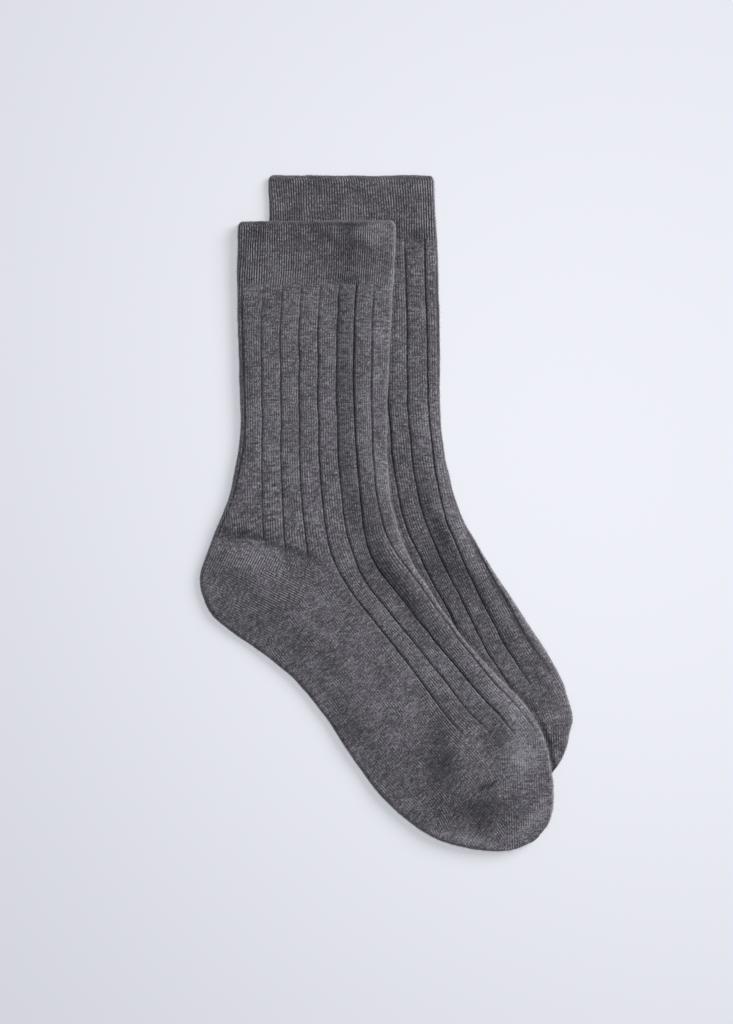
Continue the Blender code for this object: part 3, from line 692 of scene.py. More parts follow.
def plain_faces(sock, under, points, along, which=slice(None)):
    """Heights of the underside and of the top face, before the knit's relief."""
    underside, rest = rest_heights(under, points)
    return underside, rest + 2 * WALL + HOLLOW + ridge(sock, along, which)


# %% The top layer, which shows
SCALLOP = 0.36  # how far each of the cuff's fine ribs stands out at the rim
SCALLOP_NOISES = ((0.6, 3.0, 41),)
SCALLOP_REACH = 2.0  # how far below the rim that starts
FUZZ_AND_RIM_LIGHT_ON_FACE = 0.05  # loose fibres and painted rim highlight on the flat of the cloth, for each one at its folds
FUZZ_AND_RIM_LIGHT_AT_RIM = 0.7  # and at the rim
FUZZ_AND_RIM_LIGHT_STRIP = 1.3  # how wide the strip of fuzz and painted highlight is at the folds and the rim


def scalloped(sock, top):
    """The layer with the ends of the cuff's fine ribs standing out at the rim, each by its own amount."""
    near_rim = 1 - ease(below_rim(sock, top) / SCALLOP_REACH)
    out = SCALLOP * with_noise(1.0, top, SCALLOP_NOISES) * near_rim * wale_wave(sock)
    return np.stack([top[..., 0], top[..., 1] + out], axis=-1)


def fuzz_and_rim_light_amounts(sock, top):
    """How many loose fibres each point has, 0 to 1, and so how much painted highlight pales its grey."""
    from_fold = np.minimum(sock["along"], sock["rings"]["width"][:, None] - sock["along"])
    at_folds = FUZZ_AND_RIM_LIGHT_ON_FACE + (1 - FUZZ_AND_RIM_LIGHT_ON_FACE) * (1 - ease(from_fold / FUZZ_AND_RIM_LIGHT_STRIP))
    return np.maximum(at_folds, FUZZ_AND_RIM_LIGHT_AT_RIM * (1 - ease(below_rim(sock, top) / FUZZ_AND_RIM_LIGHT_STRIP)))


def top_layer(sock, under):
    """Points and heights, and the numbers that the wool needs at each point."""
    top = place_across(sock, sock["along"])
    underside, face = plain_faces(sock, under, top, sock["along"])
    relief, numbers = knit_relief(sock, top)
    creased = face + relief + crease_height(sock, top) - pressed(sock, top)
    middle = (underside + face) / 2
    heights = middle + (creased - middle) * fullness(sock, top, sock["along"])
    top = scalloped(sock, top)
    # loose fibres, and a painted highlight that pales the folds and the rim
    numbers["fuzzy"] = fuzz_and_rim_light_amounts(sock, top)
    # painted shade and light, in soft strokes laid like the creases
    numbers["tone"] = soft_strokes(sock["painted_shading_strokes"], top)
    numbers["pulled"] = soft_strokes(sock["pulled_places"], top)
    return top, heights, numbers


# %% The under layer
UNDER_COLUMNS = 56
UNDER_SHARES = spaced(UNDER_COLUMNS + 2, 0.6)[-2:0:-1]  # from the back fold to the front one, without both
PEEK_BEHIND = 62.0  # the under layer's rim starts to show this far behind the front fold
PEEK_GROWS = 36.0  # and shows in full this much nearer to it
PEEK_REACH = 9.0  # how far below the rim the layer starts to stretch up to it


def peek(sock, points):
    """How far the under layer's rim shows past the top layer's."""
    forward = ease((points[..., 0] - sock["rings"]["front"][0, 0] + PEEK_BEHIND) / PEEK_GROWS)
    near_rim = 1 - ease(below_rim(sock, points) / PEEK_REACH)
    return np.stack([np.zeros_like(forward), sock["peek"] * forward * near_rim], axis=-1)


def under_layer(sock, under):
    """Points and heights, and how far the points are from the front fold."""
    along = UNDER_SHARES * sock["rings"]["width"][:, None]
    below = place_across(sock, along)
    underside, face = plain_faces(sock, under, below, along)
    middle = (underside + face) / 2
    heights = middle + (underside - middle) * fullness(sock, below, along)
    return below + peek(sock, below), heights, along


# %% Both layers together
def outer_rings(sock, under):
    """Both layers as rings of points, and their wales and numbers kept with the sock."""
    top, top_heights, numbers = top_layer(sock, under)
    below, low_heights, along = under_layer(sock, under)
    nothing = np.zeros_like(along)
    sock["numbers"] = {name: np.hstack([values, nothing]) for name, values in numbers.items()}
    under_wales = sock["wales"][:, -1:] + (sock["rings"]["width"][:, None] - along) / WALE
    sock["loop_wales"] = np.column_stack([sock["wales"], under_wales, under_wales[:, -1] + 0.5])
    points, heights = wander(np.hstack([top, below])), np.hstack([top_heights, low_heights])
    return np.concatenate([points, heights[..., None]], axis=2)


# %% The inside
LINING_SHARES = spaced(61, 0.5)
LINING_INSET = 1.6  # from a fold of the sock to the fold of its inside
LINING_ROUNDING = 2.0  # how far in from there the inside is fully open
LINING_STEP = 4  # the inside takes every fourth ring
LINING_END_WIDTH = 12.0  # and ends where the toe gets narrower than this


def inner_rings(sock, under):
    """Rings of points of the inside, and how far round each is: 0 to 1 above, and on to 2 below."""
    which = np.arange(0, len(sock["rings"]["width"]), LINING_STEP)
    which = which[sock["rings"]["width"][which] > LINING_END_WIDTH]
    inside = sock["rings"]["width"][which][:, None] - 2 * LINING_INSET
    back_again = LINING_SHARES[-2:0:-1]
    loops = []
    for shares, side in ((LINING_SHARES, 1), (back_again, -1)):
        along = shares * inside
        points = place_across(sock, along + LINING_INSET, which)
        underside, face = plain_faces(sock, under, points, along + LINING_INSET, which)
        room = (face - underside) / 2 - WALL
        opened = quarter_round(np.minimum(along, inside - along), LINING_ROUNDING)
        heights = (face + underside) / 2 + side * room * opened - pressed(sock, points) / 2
        points = wander(points + (peek(sock, points) if side < 0 else 0))
        loops.append(np.concatenate([points, heights[..., None]], axis=2))
    return np.hstack(loops), np.append(LINING_SHARES, 2 - back_again)


# %% Close the toe
CLOSING_STEPS = (0.25, 0.5, 0.72, 0.88, 0.97)
TOE_ROUND = 0.08  # how far the closing rings go on, as a share of the last ring's width
TOE_THICKNESS = 0.25  # what is left of the last ring's thickness at the very tip


def closing_rings(sock, last_ring):
    """Ever smaller copies of the last ring, moved on along the foot so that the toe ends in a round."""
    front, back = sock["rings"]["front"][-1], sock["rings"]["back"][-1]
    centre = np.append((front + back) / 2, last_ring[:, 2].mean())
    forward = np.array([front[1] - back[1], back[0] - front[0], 0.0]) * TOE_ROUND
    rings = []
    for step in CLOSING_STEPS:
        size = math.sqrt(1 - step**2)
        sizes = np.array([size, size, TOE_THICKNESS + (1 - TOE_THICKNESS) * size])
        rings.append(centre + (last_ring - centre) * sizes + forward * step)
    return np.array(rings)


# %% [markdown]
# ## Directions of the stitches
#
# Stitches are far too small to model one by one, so the shading draws them, and it needs to know which way
# the knitting runs. A UV map called "stitches" counts wales along U and courses along V. It follows the
# ribs down the leg and over the instep, runs straight on along the sole and the toe, and turns twice in
# the heel pocket, where short rows meet along the gore line.

# %% Count stitches
WALE_DIRECTIONS = (64.0, -27.0, 92.0)  # degrees from +X: heel above and below the gore line, front of the toe
SHIN_COLUMN = 2 * COLUMNS_PER_RIB  # courses are counted along this column on the leg and the instep
SOLE_COLUMN = 7 * COLUMNS_PER_RIB  # and along this one on the sole
UNDER_WALES = 1.2  # wales for each column of the under layer
TOE_FROM_X = 20.0  # the toe lies to the right of this


def turned_counts(points, degrees):
    """Wales and courses where the wales run straight, the given way."""
    angle = math.radians(degrees)
    along = points[..., 0] * math.cos(angle) + points[..., 1] * math.sin(angle)
    across = -points[..., 0] * math.sin(angle) + points[..., 1] * math.cos(angle)
    return np.stack([across / WALE, along / COURSE], axis=-1)


def running_length(line):
    """The length of a line of points up to each of them."""
    return np.append(0, np.cumsum(np.linalg.norm(np.diff(line, axis=0), axis=1)))


def counts_along(wales, line):
    """Wales as given, and courses along a line. The toe's closing rings keep the last ring's wales."""
    wales = np.pad(wales, ((0, len(line) - len(wales)), (0, 0)), mode="edge")
    courses = running_length(line)[:, None] / COURSE + np.zeros_like(wales)
    return np.stack([wales, courses], axis=-1)


def stitch_counts(sock, loops):
    """Counts at every point: on the ribs, on the plain sole, and the three ways that the pockets turn."""
    last_groove = sock["places"][:, [sock["foot_grooves"] - 1]]
    plain = WALES_PER_RIB * sock["foot_grooves"] + (sock["along"] - last_groove) / WALE
    under = np.arange(1, sock["loop_wales"].shape[1] - plain.shape[1] + 1) * UNDER_WALES
    plain = np.hstack([plain, plain[:, -1:] + under])
    ribbed = counts_along(sock["loop_wales"], loops[:, SHIN_COLUMN])
    soled = counts_along(plain, loops[:, SOLE_COLUMN])
    wrapped = np.hstack([loops, loops[:, :1]])
    return wrapped, [ribbed, soled] + [turned_counts(wrapped, degrees) for degrees in WALE_DIRECTIONS]


def part_of_sock(sock, middles):
    """0 leg and instep, 1 sole, 2 heel above the gore line, 3 heel below it, 4 front of the toe."""
    behind_instep = np.arange(middles.shape[1]) >= COLUMNS_PER_RIB * sock["foot_grooves"]
    sole = behind_instep & (side_of(sock["heel_line"], middles) < 0)
    heel = sole & (side_of(sock["gore_end"], middles) < 0)
    under_gore = side_of(sock["gore_line"], middles) < 0
    past_toe_start = side_of(sock["toe_start"], middles) < 0
    toe = past_toe_start & (middles[..., 0] > TOE_FROM_X)
    toe_front = past_toe_start & (side_of(sock["toe_gore"], middles) < 0)
    parts = ((1, sole), (2, heel & ~under_gore), (3, heel & under_gore), (1, toe), (4, toe_front))
    part = np.zeros(middles.shape[:-1], int)
    for number, where in parts:
        part[where] = number
    return part


# %% [markdown]
# ## Put the wall together
#
# The rings become one closed mesh: quads between them, a fan at the toe and at the end of the inside, and
# triangles between the unlike rings at the rim. Numbers that the wool needs later, such as how far into a
# groove a point is and whether it is on the cuff, go along as point attributes.

# %% Faces of the wall
def add_object(name, data):
    """An object at the origin, in the scene."""
    obj = bpy.data.objects.new(name, data)
    bpy.context.scene.collection.objects.link(obj)
    return obj


def ring_quads(first, rings, columns):
    """Corners of the quads between rings that lie one after another."""
    here = first + np.arange(rings - 1)[:, None] * columns + np.arange(columns)
    after = first + np.arange(rings - 1)[:, None] * columns + (np.arange(columns) + 1) % columns
    return np.stack([here, after, after + columns, here + columns], axis=-1).reshape(-1, 4)


def rim_triangles(outer_turn, inner_turn, first_inner):
    """Triangles between two rings of unlike counts, by how far round each point is."""
    outer_count, inner_count = len(outer_turn), len(inner_turn)
    outer_turn, inner_turn = np.append(outer_turn, 9.0), np.append(inner_turn, 9.0)  # past every turn
    faces, i, j = [], 0, 0
    while i < outer_count or j < inner_count:
        here_out, here_in = i % outer_count, first_inner + j % inner_count
        if j == inner_count or (i < outer_count and outer_turn[i + 1] <= inner_turn[j + 1]):
            faces.append(((i + 1) % outer_count, here_in, here_out))
            i += 1
        else:
            faces.append((first_inner + (j + 1) % inner_count, here_in, here_out))
            j += 1
    return faces


def wall_faces(sock, loops, lining, inner_turn):
    """All faces. The points come as the outer rings, their tip, the inner rings and their tip."""
    (rings, columns, _), (inner_count, inner_columns, _) = loops.shape, lining.shape
    outer_tip = rings * columns
    first_inner = outer_tip + 1
    inner_tip = first_inner + inner_count * inner_columns
    last, last_inner = outer_tip - columns, inner_tip - inner_columns
    faces = ring_quads(0, rings, columns).tolist()
    faces += ring_quads(first_inner, inner_count, inner_columns)[:, ::-1].tolist()
    for column in range(columns):
        faces.append((last + column, last + (column + 1) % columns, outer_tip))
    for column in range(inner_columns):
        faces.append((last_inner + (column + 1) % inner_columns, last_inner + column, inner_tip))
    outer_turn = np.append(sock["along"][0] / sock["rings"]["width"][0], 2 - UNDER_SHARES)
    return faces + rim_triangles(outer_turn, inner_turn, first_inner)


# %% Numbers that the wool reads
def add_stitch_map(mesh, sock, loops):
    """The stitch counts at every corner of every face."""
    wrapped, maps = stitch_counts(sock, loops)
    middles = (wrapped[:-1, :-1, :2] + wrapped[1:, 1:, :2]) / 2
    part = part_of_sock(sock, middles)[..., None, None]
    corners = np.zeros(middles.shape[:2] + (4, 2))
    for number, counts in enumerate(maps):
        around = [counts[:-1, :-1], counts[:-1, 1:], counts[1:, 1:], counts[1:, :-1]]
        corners = np.where(part == number, np.stack(around, axis=2), corners)
    corners = corners.reshape(-1, 2)
    # the faces after the outer quads hardly show, and are counted straight across
    vertices, places = np.zeros(len(mesh.loops), int), np.zeros(len(mesh.vertices) * 3)
    mesh.loops.foreach_get("vertex_index", vertices)
    mesh.vertices.foreach_get("co", places)
    others = places.reshape(-1, 3)[vertices[len(corners) :], :2] / MM / (WALE, COURSE)
    stitches = np.vstack([corners, others]).astype(np.float32)
    mesh.uv_layers.new(name="stitches").uv.foreach_set("vector", stitches.ravel())


def add_point_numbers(mesh, sock):
    """The numbers of the outer rings as point attributes, and 0 on the inside."""
    for name, numbers in sock["numbers"].items():
        values = np.zeros(len(mesh.vertices), np.float32)
        values[: numbers.size] = numbers.ravel()
        mesh.attributes.new(name, "FLOAT", "POINT").data.foreach_set("value", values)


# %% Knit both socks
def make_knit(name, sock, under=None):
    """One sock's wall as a piece, on the table or partly on the outline under it."""
    loops = outer_rings(sock, under)
    loops = np.concatenate([loops, closing_rings(sock, loops[-1])])
    lining, inner_turn = inner_rings(sock, under)
    points = np.vstack([
        loops.reshape(-1, 3), loops[-1].mean(axis=0), lining.reshape(-1, 3), lining[-1].mean(axis=0)
    ])
    faces = wall_faces(sock, loops, lining, inner_turn)
    mesh = bpy.data.meshes.new(name)
    mesh.from_pydata((points * MM).tolist(), [], faces)
    add_stitch_map(mesh, sock, loops)
    add_point_numbers(mesh, sock)
    mesh.shade_smooth()
    print(name, sum(len(face) - 2 for face in faces), "triangles")
    return add_object(name, mesh)


lower_knit = make_knit("lower_sock_knit", LOWER_SOCK)
upper_knit = make_knit("upper_sock_knit", UPPER_SOCK, outline_of(LOWER_SOCK))

# %% [markdown]
# ## Wool
#
# The yarn is heathered grey wool: dark, middle and light fibres spun together, so no two stitches are the
# same grey. It is matt, with a weak sheen from the fibre ends. The colour comes from fine noise stretched
# along the stitches, from a different grey for every stitch, and from slow changes over the whole sock.
# On top of these goes painted shade and light: darker grooves and yarn between the wales, raised yarn
# painted lighter, soft strokes of shade and light, and a painted highlight that pales the folds and rim.
# The bump draws the two slanting legs of each knit stitch. A photographed cloth would be quicker to use,
# but it would repeat, and it would not turn with the heel.

# %% Helpers for materials
MATH, NOISE = "ShaderNodeMath", "ShaderNodeTexNoise"
ADD, LESS, TIMES, TIMES_ADD, POWER, FRACTION, SIZE_OF, COSINE = (
    {"operation": name}
    for name in ("ADD", "SUBTRACT", "MULTIPLY", "MULTIPLY_ADD", "POWER", "FRACT", "ABSOLUTE", "COSINE")
)


def linear(hex_colour):
    """An sRGB hex colour as linear red, green, blue and alpha."""
    parts = [int(hex_colour[i : i + 2], 16) / 255 for i in (1, 3, 5)]
    return [c / 12.92 if c <= 0.04045 else ((c + 0.055) / 1.055) ** 2.4 for c in parts] + [1.0]


def node(tree, kind, settings=None, *values, **inputs):
    """One node, with its settings, and its inputs given as values, or as sockets or nodes to link from."""
    new = tree.nodes.new(kind)
    for name, value in (settings or {}).items():
        setattr(new, name, value)
    for name, value in {**dict(enumerate(values)), **inputs}.items():
        if isinstance(name, str):
            name = int(name[1:]) if name[1:].isdigit() else name.replace("_", " ")
        if isinstance(value, bpy.types.Node):
            value = value.outputs[0]
        if isinstance(value, bpy.types.NodeSocket):
            tree.links.new(value, new.inputs[name])
        else:
            new.inputs[name].default_value = value
    return new


def new_material(name, **surface):
    """A material, its tree and its shader, with constants set on the shader's own sockets."""
    material = bpy.data.materials.new(name)
    material.use_nodes = True
    shader = material.node_tree.nodes["Principled BSDF"]
    for label, value in surface.items():
        shader.inputs[label.replace("_", " ")].default_value = value
    return material, material.node_tree, shader


# %% The pattern of the stitches
LEG_SLANT = 1.5  # courses that a stitch's leg climbs for each wale across
ON_CLOTH = {"noise_dimensions": "2D"}  # noise on the stitch map, which has no depth


def from_middle(tree, count):
    """How far a place is from the middle of its wale or course, 0 to 0.5."""
    return node(tree, MATH, SIZE_OF, node(tree, MATH, LESS, node(tree, MATH, FRACTION, count), 0.5))


def hump(tree, away, steepness):
    """1 where away is 0, and less to both sides of it."""
    squared = node(tree, MATH, POWER, away, 2.0)
    return node(tree, MATH, LESS, 1.0, node(tree, MATH, TIMES, squared, steepness))


def stitch_pattern(tree, wale, course):
    """How high the yarn lies in its stitch, and a grey of its own for each stitch."""
    # the legs of a knit stitch slant up from the middle of the wale to its sides
    aside = from_middle(tree, wale)
    slanted = node(tree, MATH, ADD, course, node(tree, MATH, TIMES, aside, LEG_SLANT))
    leg = hump(tree, from_middle(tree, slanted), 4.0)
    across = hump(tree, node(tree, MATH, LESS, aside, 0.25), 16.0)
    cell = [node(tree, MATH, {"operation": "FLOOR"}, count) for count in (wale, slanted)]
    stitch = node(tree, "ShaderNodeCombineXYZ", None, *cell)
    own_grey = node(tree, "ShaderNodeTexWhiteNoise", ON_CLOTH, Vector=stitch)
    return node(tree, MATH, TIMES, leg, across), own_grey.outputs["Value"]


def painted_wale_shade(tree, stitches, wale, numbers):
    """Painted shade between wales and painted light on their crests, most of all on the cuff's fine ribs."""
    depth = node(tree, MATH, TIMES_ADD, numbers["ribbed"], -0.02, -0.10)
    depth = node(tree, MATH, TIMES_ADD, numbers["on_cuff"], -0.09, depth)
    # the painted shade between wales comes in patches, and pulled cloth shows it most clearly
    patches = node(tree, NOISE, ON_CLOTH, Vector=stitches, Scale=0.16, Detail=2.0)
    shown = node(
        tree, "ShaderNodeMapRange", Value=patches,
        From_Min=0.38, From_Max=0.64, To_Min=0.1, To_Max=1.8,
    )
    depth = node(tree, MATH, TIMES, depth, shown)
    depth = node(tree, MATH, TIMES_ADD, numbers["pulled"], -0.22, depth)
    turn = node(tree, MATH, COSINE, node(tree, MATH, TIMES, wale, 2 * math.pi))
    return node(tree, MATH, TIMES, turn, depth)


# %% How dark or light the wool is
FIBRES, FIBRES_START = 1.4, -0.85  # fibres make most of the heather
# the last of these paints the raised yarn of each stitch lighter and the deep yarn darker: painted shade of
# its relief
OWN_GREY, SLOW_CHANGE, YARN_RELIEF_SHADE = 0.22, 0.45, 0.14
ROWS, ROWS_ON_CUFF = 0.6, -0.33  # the cuff's fine ribs half hide how the rows lie
CUFF_LIGHTER = 0.145


def wool_patterns(tree, stitches, numbers):
    """Patterns of fibres, uneven rows and the yarn's height, and how light the wool is, 0 to 1, with painted
    shade and light.
    """
    wale, course = node(tree, "ShaderNodeSeparateXYZ", None, stitches).outputs[:2]
    yarn, own_grey = stitch_pattern(tree, wale, course)
    # fibres lie along the yarn, so their noise, of about 0.5 mm, is drawn out along the wale. Real ones
    # are far finer than a pixel
    drawn = node(tree, "ShaderNodeMapping", Vector=stitches, Scale=(1.0, 0.42, 1.0))
    fibres = node(tree, NOISE, ON_CLOTH, Vector=drawn, Scale=2.3, Detail=3.0, Roughness=0.8)
    # rows of stitches lie unevenly too, in dashes of a row's height and three or four wales' width
    laid = node(tree, "ShaderNodeMapping", Vector=stitches, Scale=(0.3, 1.0, 1.0))
    rows = node(tree, NOISE, ON_CLOTH, Vector=laid, Scale=0.9, Detail=2.0, Roughness=0.6)
    row_weight = node(tree, MATH, TIMES_ADD, numbers["on_cuff"], ROWS_ON_CUFF, ROWS)
    # the yarn's grey changes slowly too, every 14 mm or so
    place = node(tree, "ShaderNodeTexCoord").outputs["Object"]
    slow = node(tree, NOISE, Vector=place, Scale=70.0, Detail=3.0, Roughness=0.6)
    light = node(tree, MATH, TIMES_ADD, fibres, FIBRES, FIBRES_START)
    # the wool's own greys, then painted shade and light: the yarn's relief, the shade between wales and the
    # soft strokes
    for pattern, weight in (
        (own_grey, OWN_GREY), (slow, SLOW_CHANGE), (yarn, YARN_RELIEF_SHADE), (rows, row_weight),
        (painted_wale_shade(tree, stitches, wale, numbers), 1.0), (numbers["tone"], 1.0),
        (numbers["on_cuff"], CUFF_LIGHTER),
    ):
        light = node(tree, MATH, TIMES_ADD, pattern, weight, light)
    return fibres, rows, yarn, light


# %% Heathered wool
WOOL_GREYS = ((0.12, "#242327"), (0.52, "#514f56"), (1.0, "#9a98a0"))  # dark, middle and light fibres
GROOVE_SHADE_GREY = "#77757a"  # painted shade in the grooves: their grey is multiplied by this
RIM_HIGHLIGHT_GREY = "#a9a7ae"  # painted highlight: the folds and the rim, where fibre ends let light through, are paled towards this grey
BUMP_DEPTH = 0.35 * MM


def heathered_wool():
    """Carded wool yarn, knitted: matt and rough, with a weak sheen from its fibre ends."""
    material, tree, shader = new_material(
        "heathered_grey_wool", Roughness=0.92, Specular_IOR_Level=0.25, Sheen_Weight=0.30, Sheen_Roughness=0.5
    )
    numbers = {
        name: node(tree, "ShaderNodeAttribute", {"attribute_name": name}).outputs["Fac"]
        for name in UPPER_SOCK["numbers"]
    }
    stitches = node(tree, "ShaderNodeUVMap", {"uv_map": "stitches"}).outputs["UV"]
    fibres, rows, yarn, light = wool_patterns(tree, stitches, numbers)
    greys = node(tree, "ShaderNodeValToRGB", Fac=light)
    greys.color_ramp.elements.new(WOOL_GREYS[1][0])
    for element, (position, grey) in zip(greys.color_ramp.elements, WOOL_GREYS):
        element.position, element.color = position, linear(grey)
    uneven = node(tree, MATH, TIMES_ADD, rows, 3.4, -1.25)  # the painted shade in a groove is darkest where the rows' noise is high
    # painted shade: the grooves are darkened as deep as each point lies in one
    groove_shade = node(
        tree, "ShaderNodeMix", {"data_type": "RGBA", "blend_type": "MULTIPLY"},
        Factor=node(tree, MATH, TIMES, numbers["sunk"], uneven), _6=greys, _7=linear(GROOVE_SHADE_GREY),
    )
    # painted highlight: the grey is paled at the folds and the rim, as far as the fuzz mask says
    rim_highlight = node(
        tree, "ShaderNodeMix", {"data_type": "RGBA"},
        Factor=node(tree, MATH, TIMES, numbers["fuzzy"], 0.24),
        _6=groove_shade.outputs[2], _7=linear(RIM_HIGHLIGHT_GREY),
    )
    tree.links.new(rim_highlight.outputs[2], shader.inputs["Base Color"])
    height = node(tree, MATH, TIMES_ADD, fibres, 0.9, node(tree, MATH, TIMES, yarn, 0.6))
    bump = node(tree, "ShaderNodeBump", Height=height, Strength=0.55, Distance=BUMP_DEPTH)
    tree.links.new(bump.outputs[0], shader.inputs["Normal"])
    print(material.name, "has", len(tree.nodes), "nodes")
    return material


wool = heathered_wool()
for knit in (lower_knit, upper_knit):
    knit.data.materials.append(wool)

# %% [markdown]
# ## Loose fibres
#
# Wool is never quite smooth: fibre ends stand out of the yarn, and against the pale table they blur the
# sock's outline. Hair particles could draw them, but the part has to stay a plain mesh. Geometry Nodes
# scatter short bent fibres over the cloth instead, most of them at the folds and the rim, and turn each
# one its own way. They are 0.044 mm thick, about twice as thick as real ones, so that they show.

# %% Trees of Geometry Nodes
def new_tree(name, inputs):
    """An empty tree with named inputs, and its input and output sockets."""
    tree = bpy.data.node_groups.new(name, "GeometryNodeTree")
    tree.interface.new_socket("Geometry", in_out="INPUT", socket_type="NodeSocketGeometry")
    for label, kind in inputs.items():
        tree.interface.new_socket(label, in_out="INPUT", socket_type="NodeSocket" + kind)
    tree.interface.new_socket("Geometry", in_out="OUTPUT", socket_type="NodeSocketGeometry")
    return tree, node(tree, "NodeGroupInput").outputs, node(tree, "NodeGroupOutput").inputs[0]


def finish_tree(tree, instances, material, result):
    """Make the instances real, because an export drops them, and give them their material."""
    real = node(tree, "GeometryNodeRealizeInstances", Geometry=instances)
    painted = node(tree, "GeometryNodeSetMaterial", Geometry=real, Material=material)
    tree.links.new(painted.outputs[0], result)
    print(tree.name, "has", len(tree.nodes), "nodes")
    return tree


# %% A tree that scatters fibres
# a fibre of length 1, which starts a little inside the cloth
FIBRE_BEND = {"Start": (0, 0, -0.15), "Middle": (0.1, 0.0, 0.5), "End": (0.55, 0.15, 0.8)}
LEAN = 1.1  # how far a fibre leans over at most, in radians
SHORTEST, LONGEST = 0.4, 1.3  # times the length that the tree is given


def fibre_tree():
    """Bent fibres on the faces of a mesh, as many as its "fuzzy" attribute says."""
    sizes = {"Most per square metre": "Float", "Length": "Float", "Thickness": "Float"}
    tree, given, result = new_tree("loose_fibres", {**sizes, "Seed": "Int", "Material": "Material"})
    fuzzy = node(tree, "GeometryNodeInputNamedAttribute", {"data_type": "FLOAT"}, Name="fuzzy")
    density = node(tree, MATH, TIMES, fuzzy, given["Most per square metre"])
    points = node(
        tree, "GeometryNodeDistributePointsOnFaces",
        Mesh=given["Geometry"], Density=density, Seed=given["Seed"],
    )
    bend = node(tree, "GeometryNodeCurveQuadraticBezier", Resolution=3, **FIBRE_BEND)
    strand = node(tree, "GeometryNodeCurvePrimitiveCircle", Resolution=3, Radius=given["Thickness"])
    size = node(tree, "ShaderNodeCombineXYZ", None, *[given["Length"]] * 3)
    longer = node(tree, "GeometryNodeTransform", Geometry=bend, Scale=size)
    fibre = node(tree, "GeometryNodeCurveToMesh", Curve=longer, Profile_Curve=strand)
    turns = node(
        tree, "FunctionNodeRandomValue", {"data_type": "FLOAT_VECTOR"},
        _0=(-LEAN, -LEAN, 0.0), _1=(LEAN, LEAN, 6.28), Seed=given["Seed"],
    )
    lengths = node(
        tree, "FunctionNodeRandomValue", {"data_type": "FLOAT"},
        _2=SHORTEST, _3=LONGEST, Seed=given["Seed"],
    )
    placed = node(
        tree, "GeometryNodeInstanceOnPoints",
        Points=points, Instance=fibre, Rotation=points.outputs["Rotation"], Scale=lengths.outputs[1],
    )
    turned = node(tree, "GeometryNodeRotateInstances", Instances=placed, Rotation=turns)
    return finish_tree(tree, turned, given["Material"], result)


# %% Run a tree and keep its result as a plain mesh
LOWEST = 0.02 * MM  # nothing goes into the table


def grown(name, source, tree, values):
    """What the tree makes of the source mesh, as an object of its own."""
    seed_bed = add_object(name + "_source", source)
    modifier = seed_bed.modifiers.new(name, "NODES")
    modifier.node_group = tree
    for item in tree.interface.items_tree:
        if item.in_out == "INPUT" and item.name in values:
            modifier[item.identifier] = values[item.name]
    evaluated = seed_bed.evaluated_get(bpy.context.evaluated_depsgraph_get())
    mesh = bpy.data.meshes.new_from_object(evaluated)
    bpy.data.objects.remove(seed_bed)
    mesh.name = name
    for vertex in mesh.vertices:
        vertex.co.z = max(vertex.co.z, LOWEST)
    mesh.calc_loop_triangles()
    print(name, len(mesh.loop_triangles), "triangles")
    return add_object(name, mesh)


# %% Grow the fibres
def plain_wool(name, colour):
    """Matt wool of one grey, for what is too thin to show more."""
    return new_material(name, Base_Color=linear(colour), Roughness=0.8, Specular_IOR_Level=0.2)[0]


FUZZ = {
    "Most per square metre": 2.4e6,
    "Length": 0.9 * MM,
    "Thickness": 0.022 * MM,  # the radius
    "Material": plain_wool("loose_wool_fibre", "#8f8e94"),  # painted lighter, for the light that one fibre lets through
}
fibres = fibre_tree()
lower_fuzz = grown("lower_sock_fuzz", lower_knit.data, fibres, {**FUZZ, "Seed": 3})
upper_fuzz = grown("upper_sock_fuzz", upper_knit.data, fibres, {**FUZZ, "Seed": 5})

# %% [markdown]
# ## The linked toe seam
#
# The toe is closed by linking: two rows of loops are joined one by one, and the join shows as a fine line
# of slanted stitches where the ribs end. It is the only sewing on a sock. One stitch is a small bead of
# yarn, and a tree repeats it along a line that lies on the cloth, so the spacing stays even whatever the
# line's shape.

# %% A tree that stitches along a line
def seam_tree():
    """Beads of yarn along a line of edges, each slanted the same way across it."""
    sizes = {"Spacing": "Float", "Stitch size": "Vector", "Slant": "Float"}
    tree, given, result = new_tree("linked_seam", {**sizes, "Material": "Material"})
    line = node(tree, "GeometryNodeMeshToCurve", Mesh=given["Geometry"])
    steps = node(tree, "GeometryNodeCurveToPoints", {"mode": "LENGTH"}, Curve=line, Length=given["Spacing"])
    bead = node(tree, "GeometryNodeMeshUVSphere", Segments=8, Rings=5, Radius=0.5)
    slant = node(tree, "ShaderNodeCombineXYZ", Z=given["Slant"])
    shaped = node(tree, "GeometryNodeTransform", Geometry=bead, Scale=given["Stitch size"], Rotation=slant)
    facing = node(tree, "FunctionNodeAlignRotationToVector", {"axis": "X"}, Vector=steps.outputs["Tangent"])
    placed = node(tree, "GeometryNodeInstanceOnPoints", Points=steps, Instance=shaped, Rotation=facing)
    return finish_tree(tree, placed, given["Material"], result)


# %% Lay the seams on the cloth
LINE_POINTS = 40
ABOVE = 100 * MM  # well over the cloth, from where a ray finds its top face


def line_on_cloth(knit, rows, lift):
    """A mesh of edges along each row of x, y points, as high as the cloth's top face there."""
    points, edges = [], []
    for row in map(np.array, rows):
        length = running_length(row)
        steps = np.linspace(0, length[-1], LINE_POINTS)
        first = len(points)
        for x, y in zip(np.interp(steps, length, row[:, 0]), np.interp(steps, length, row[:, 1])):
            hit, place, _, _ = knit.ray_cast((x * MM, y * MM, ABOVE), (0, 0, -1))
            if hit:
                points.append((place.x, place.y, place.z + lift * MM))
        edges += [(i, i + 1) for i in range(first, len(points) - 1)]
    mesh = bpy.data.meshes.new("seam_line")
    mesh.from_pydata(points, edges, [])
    return mesh


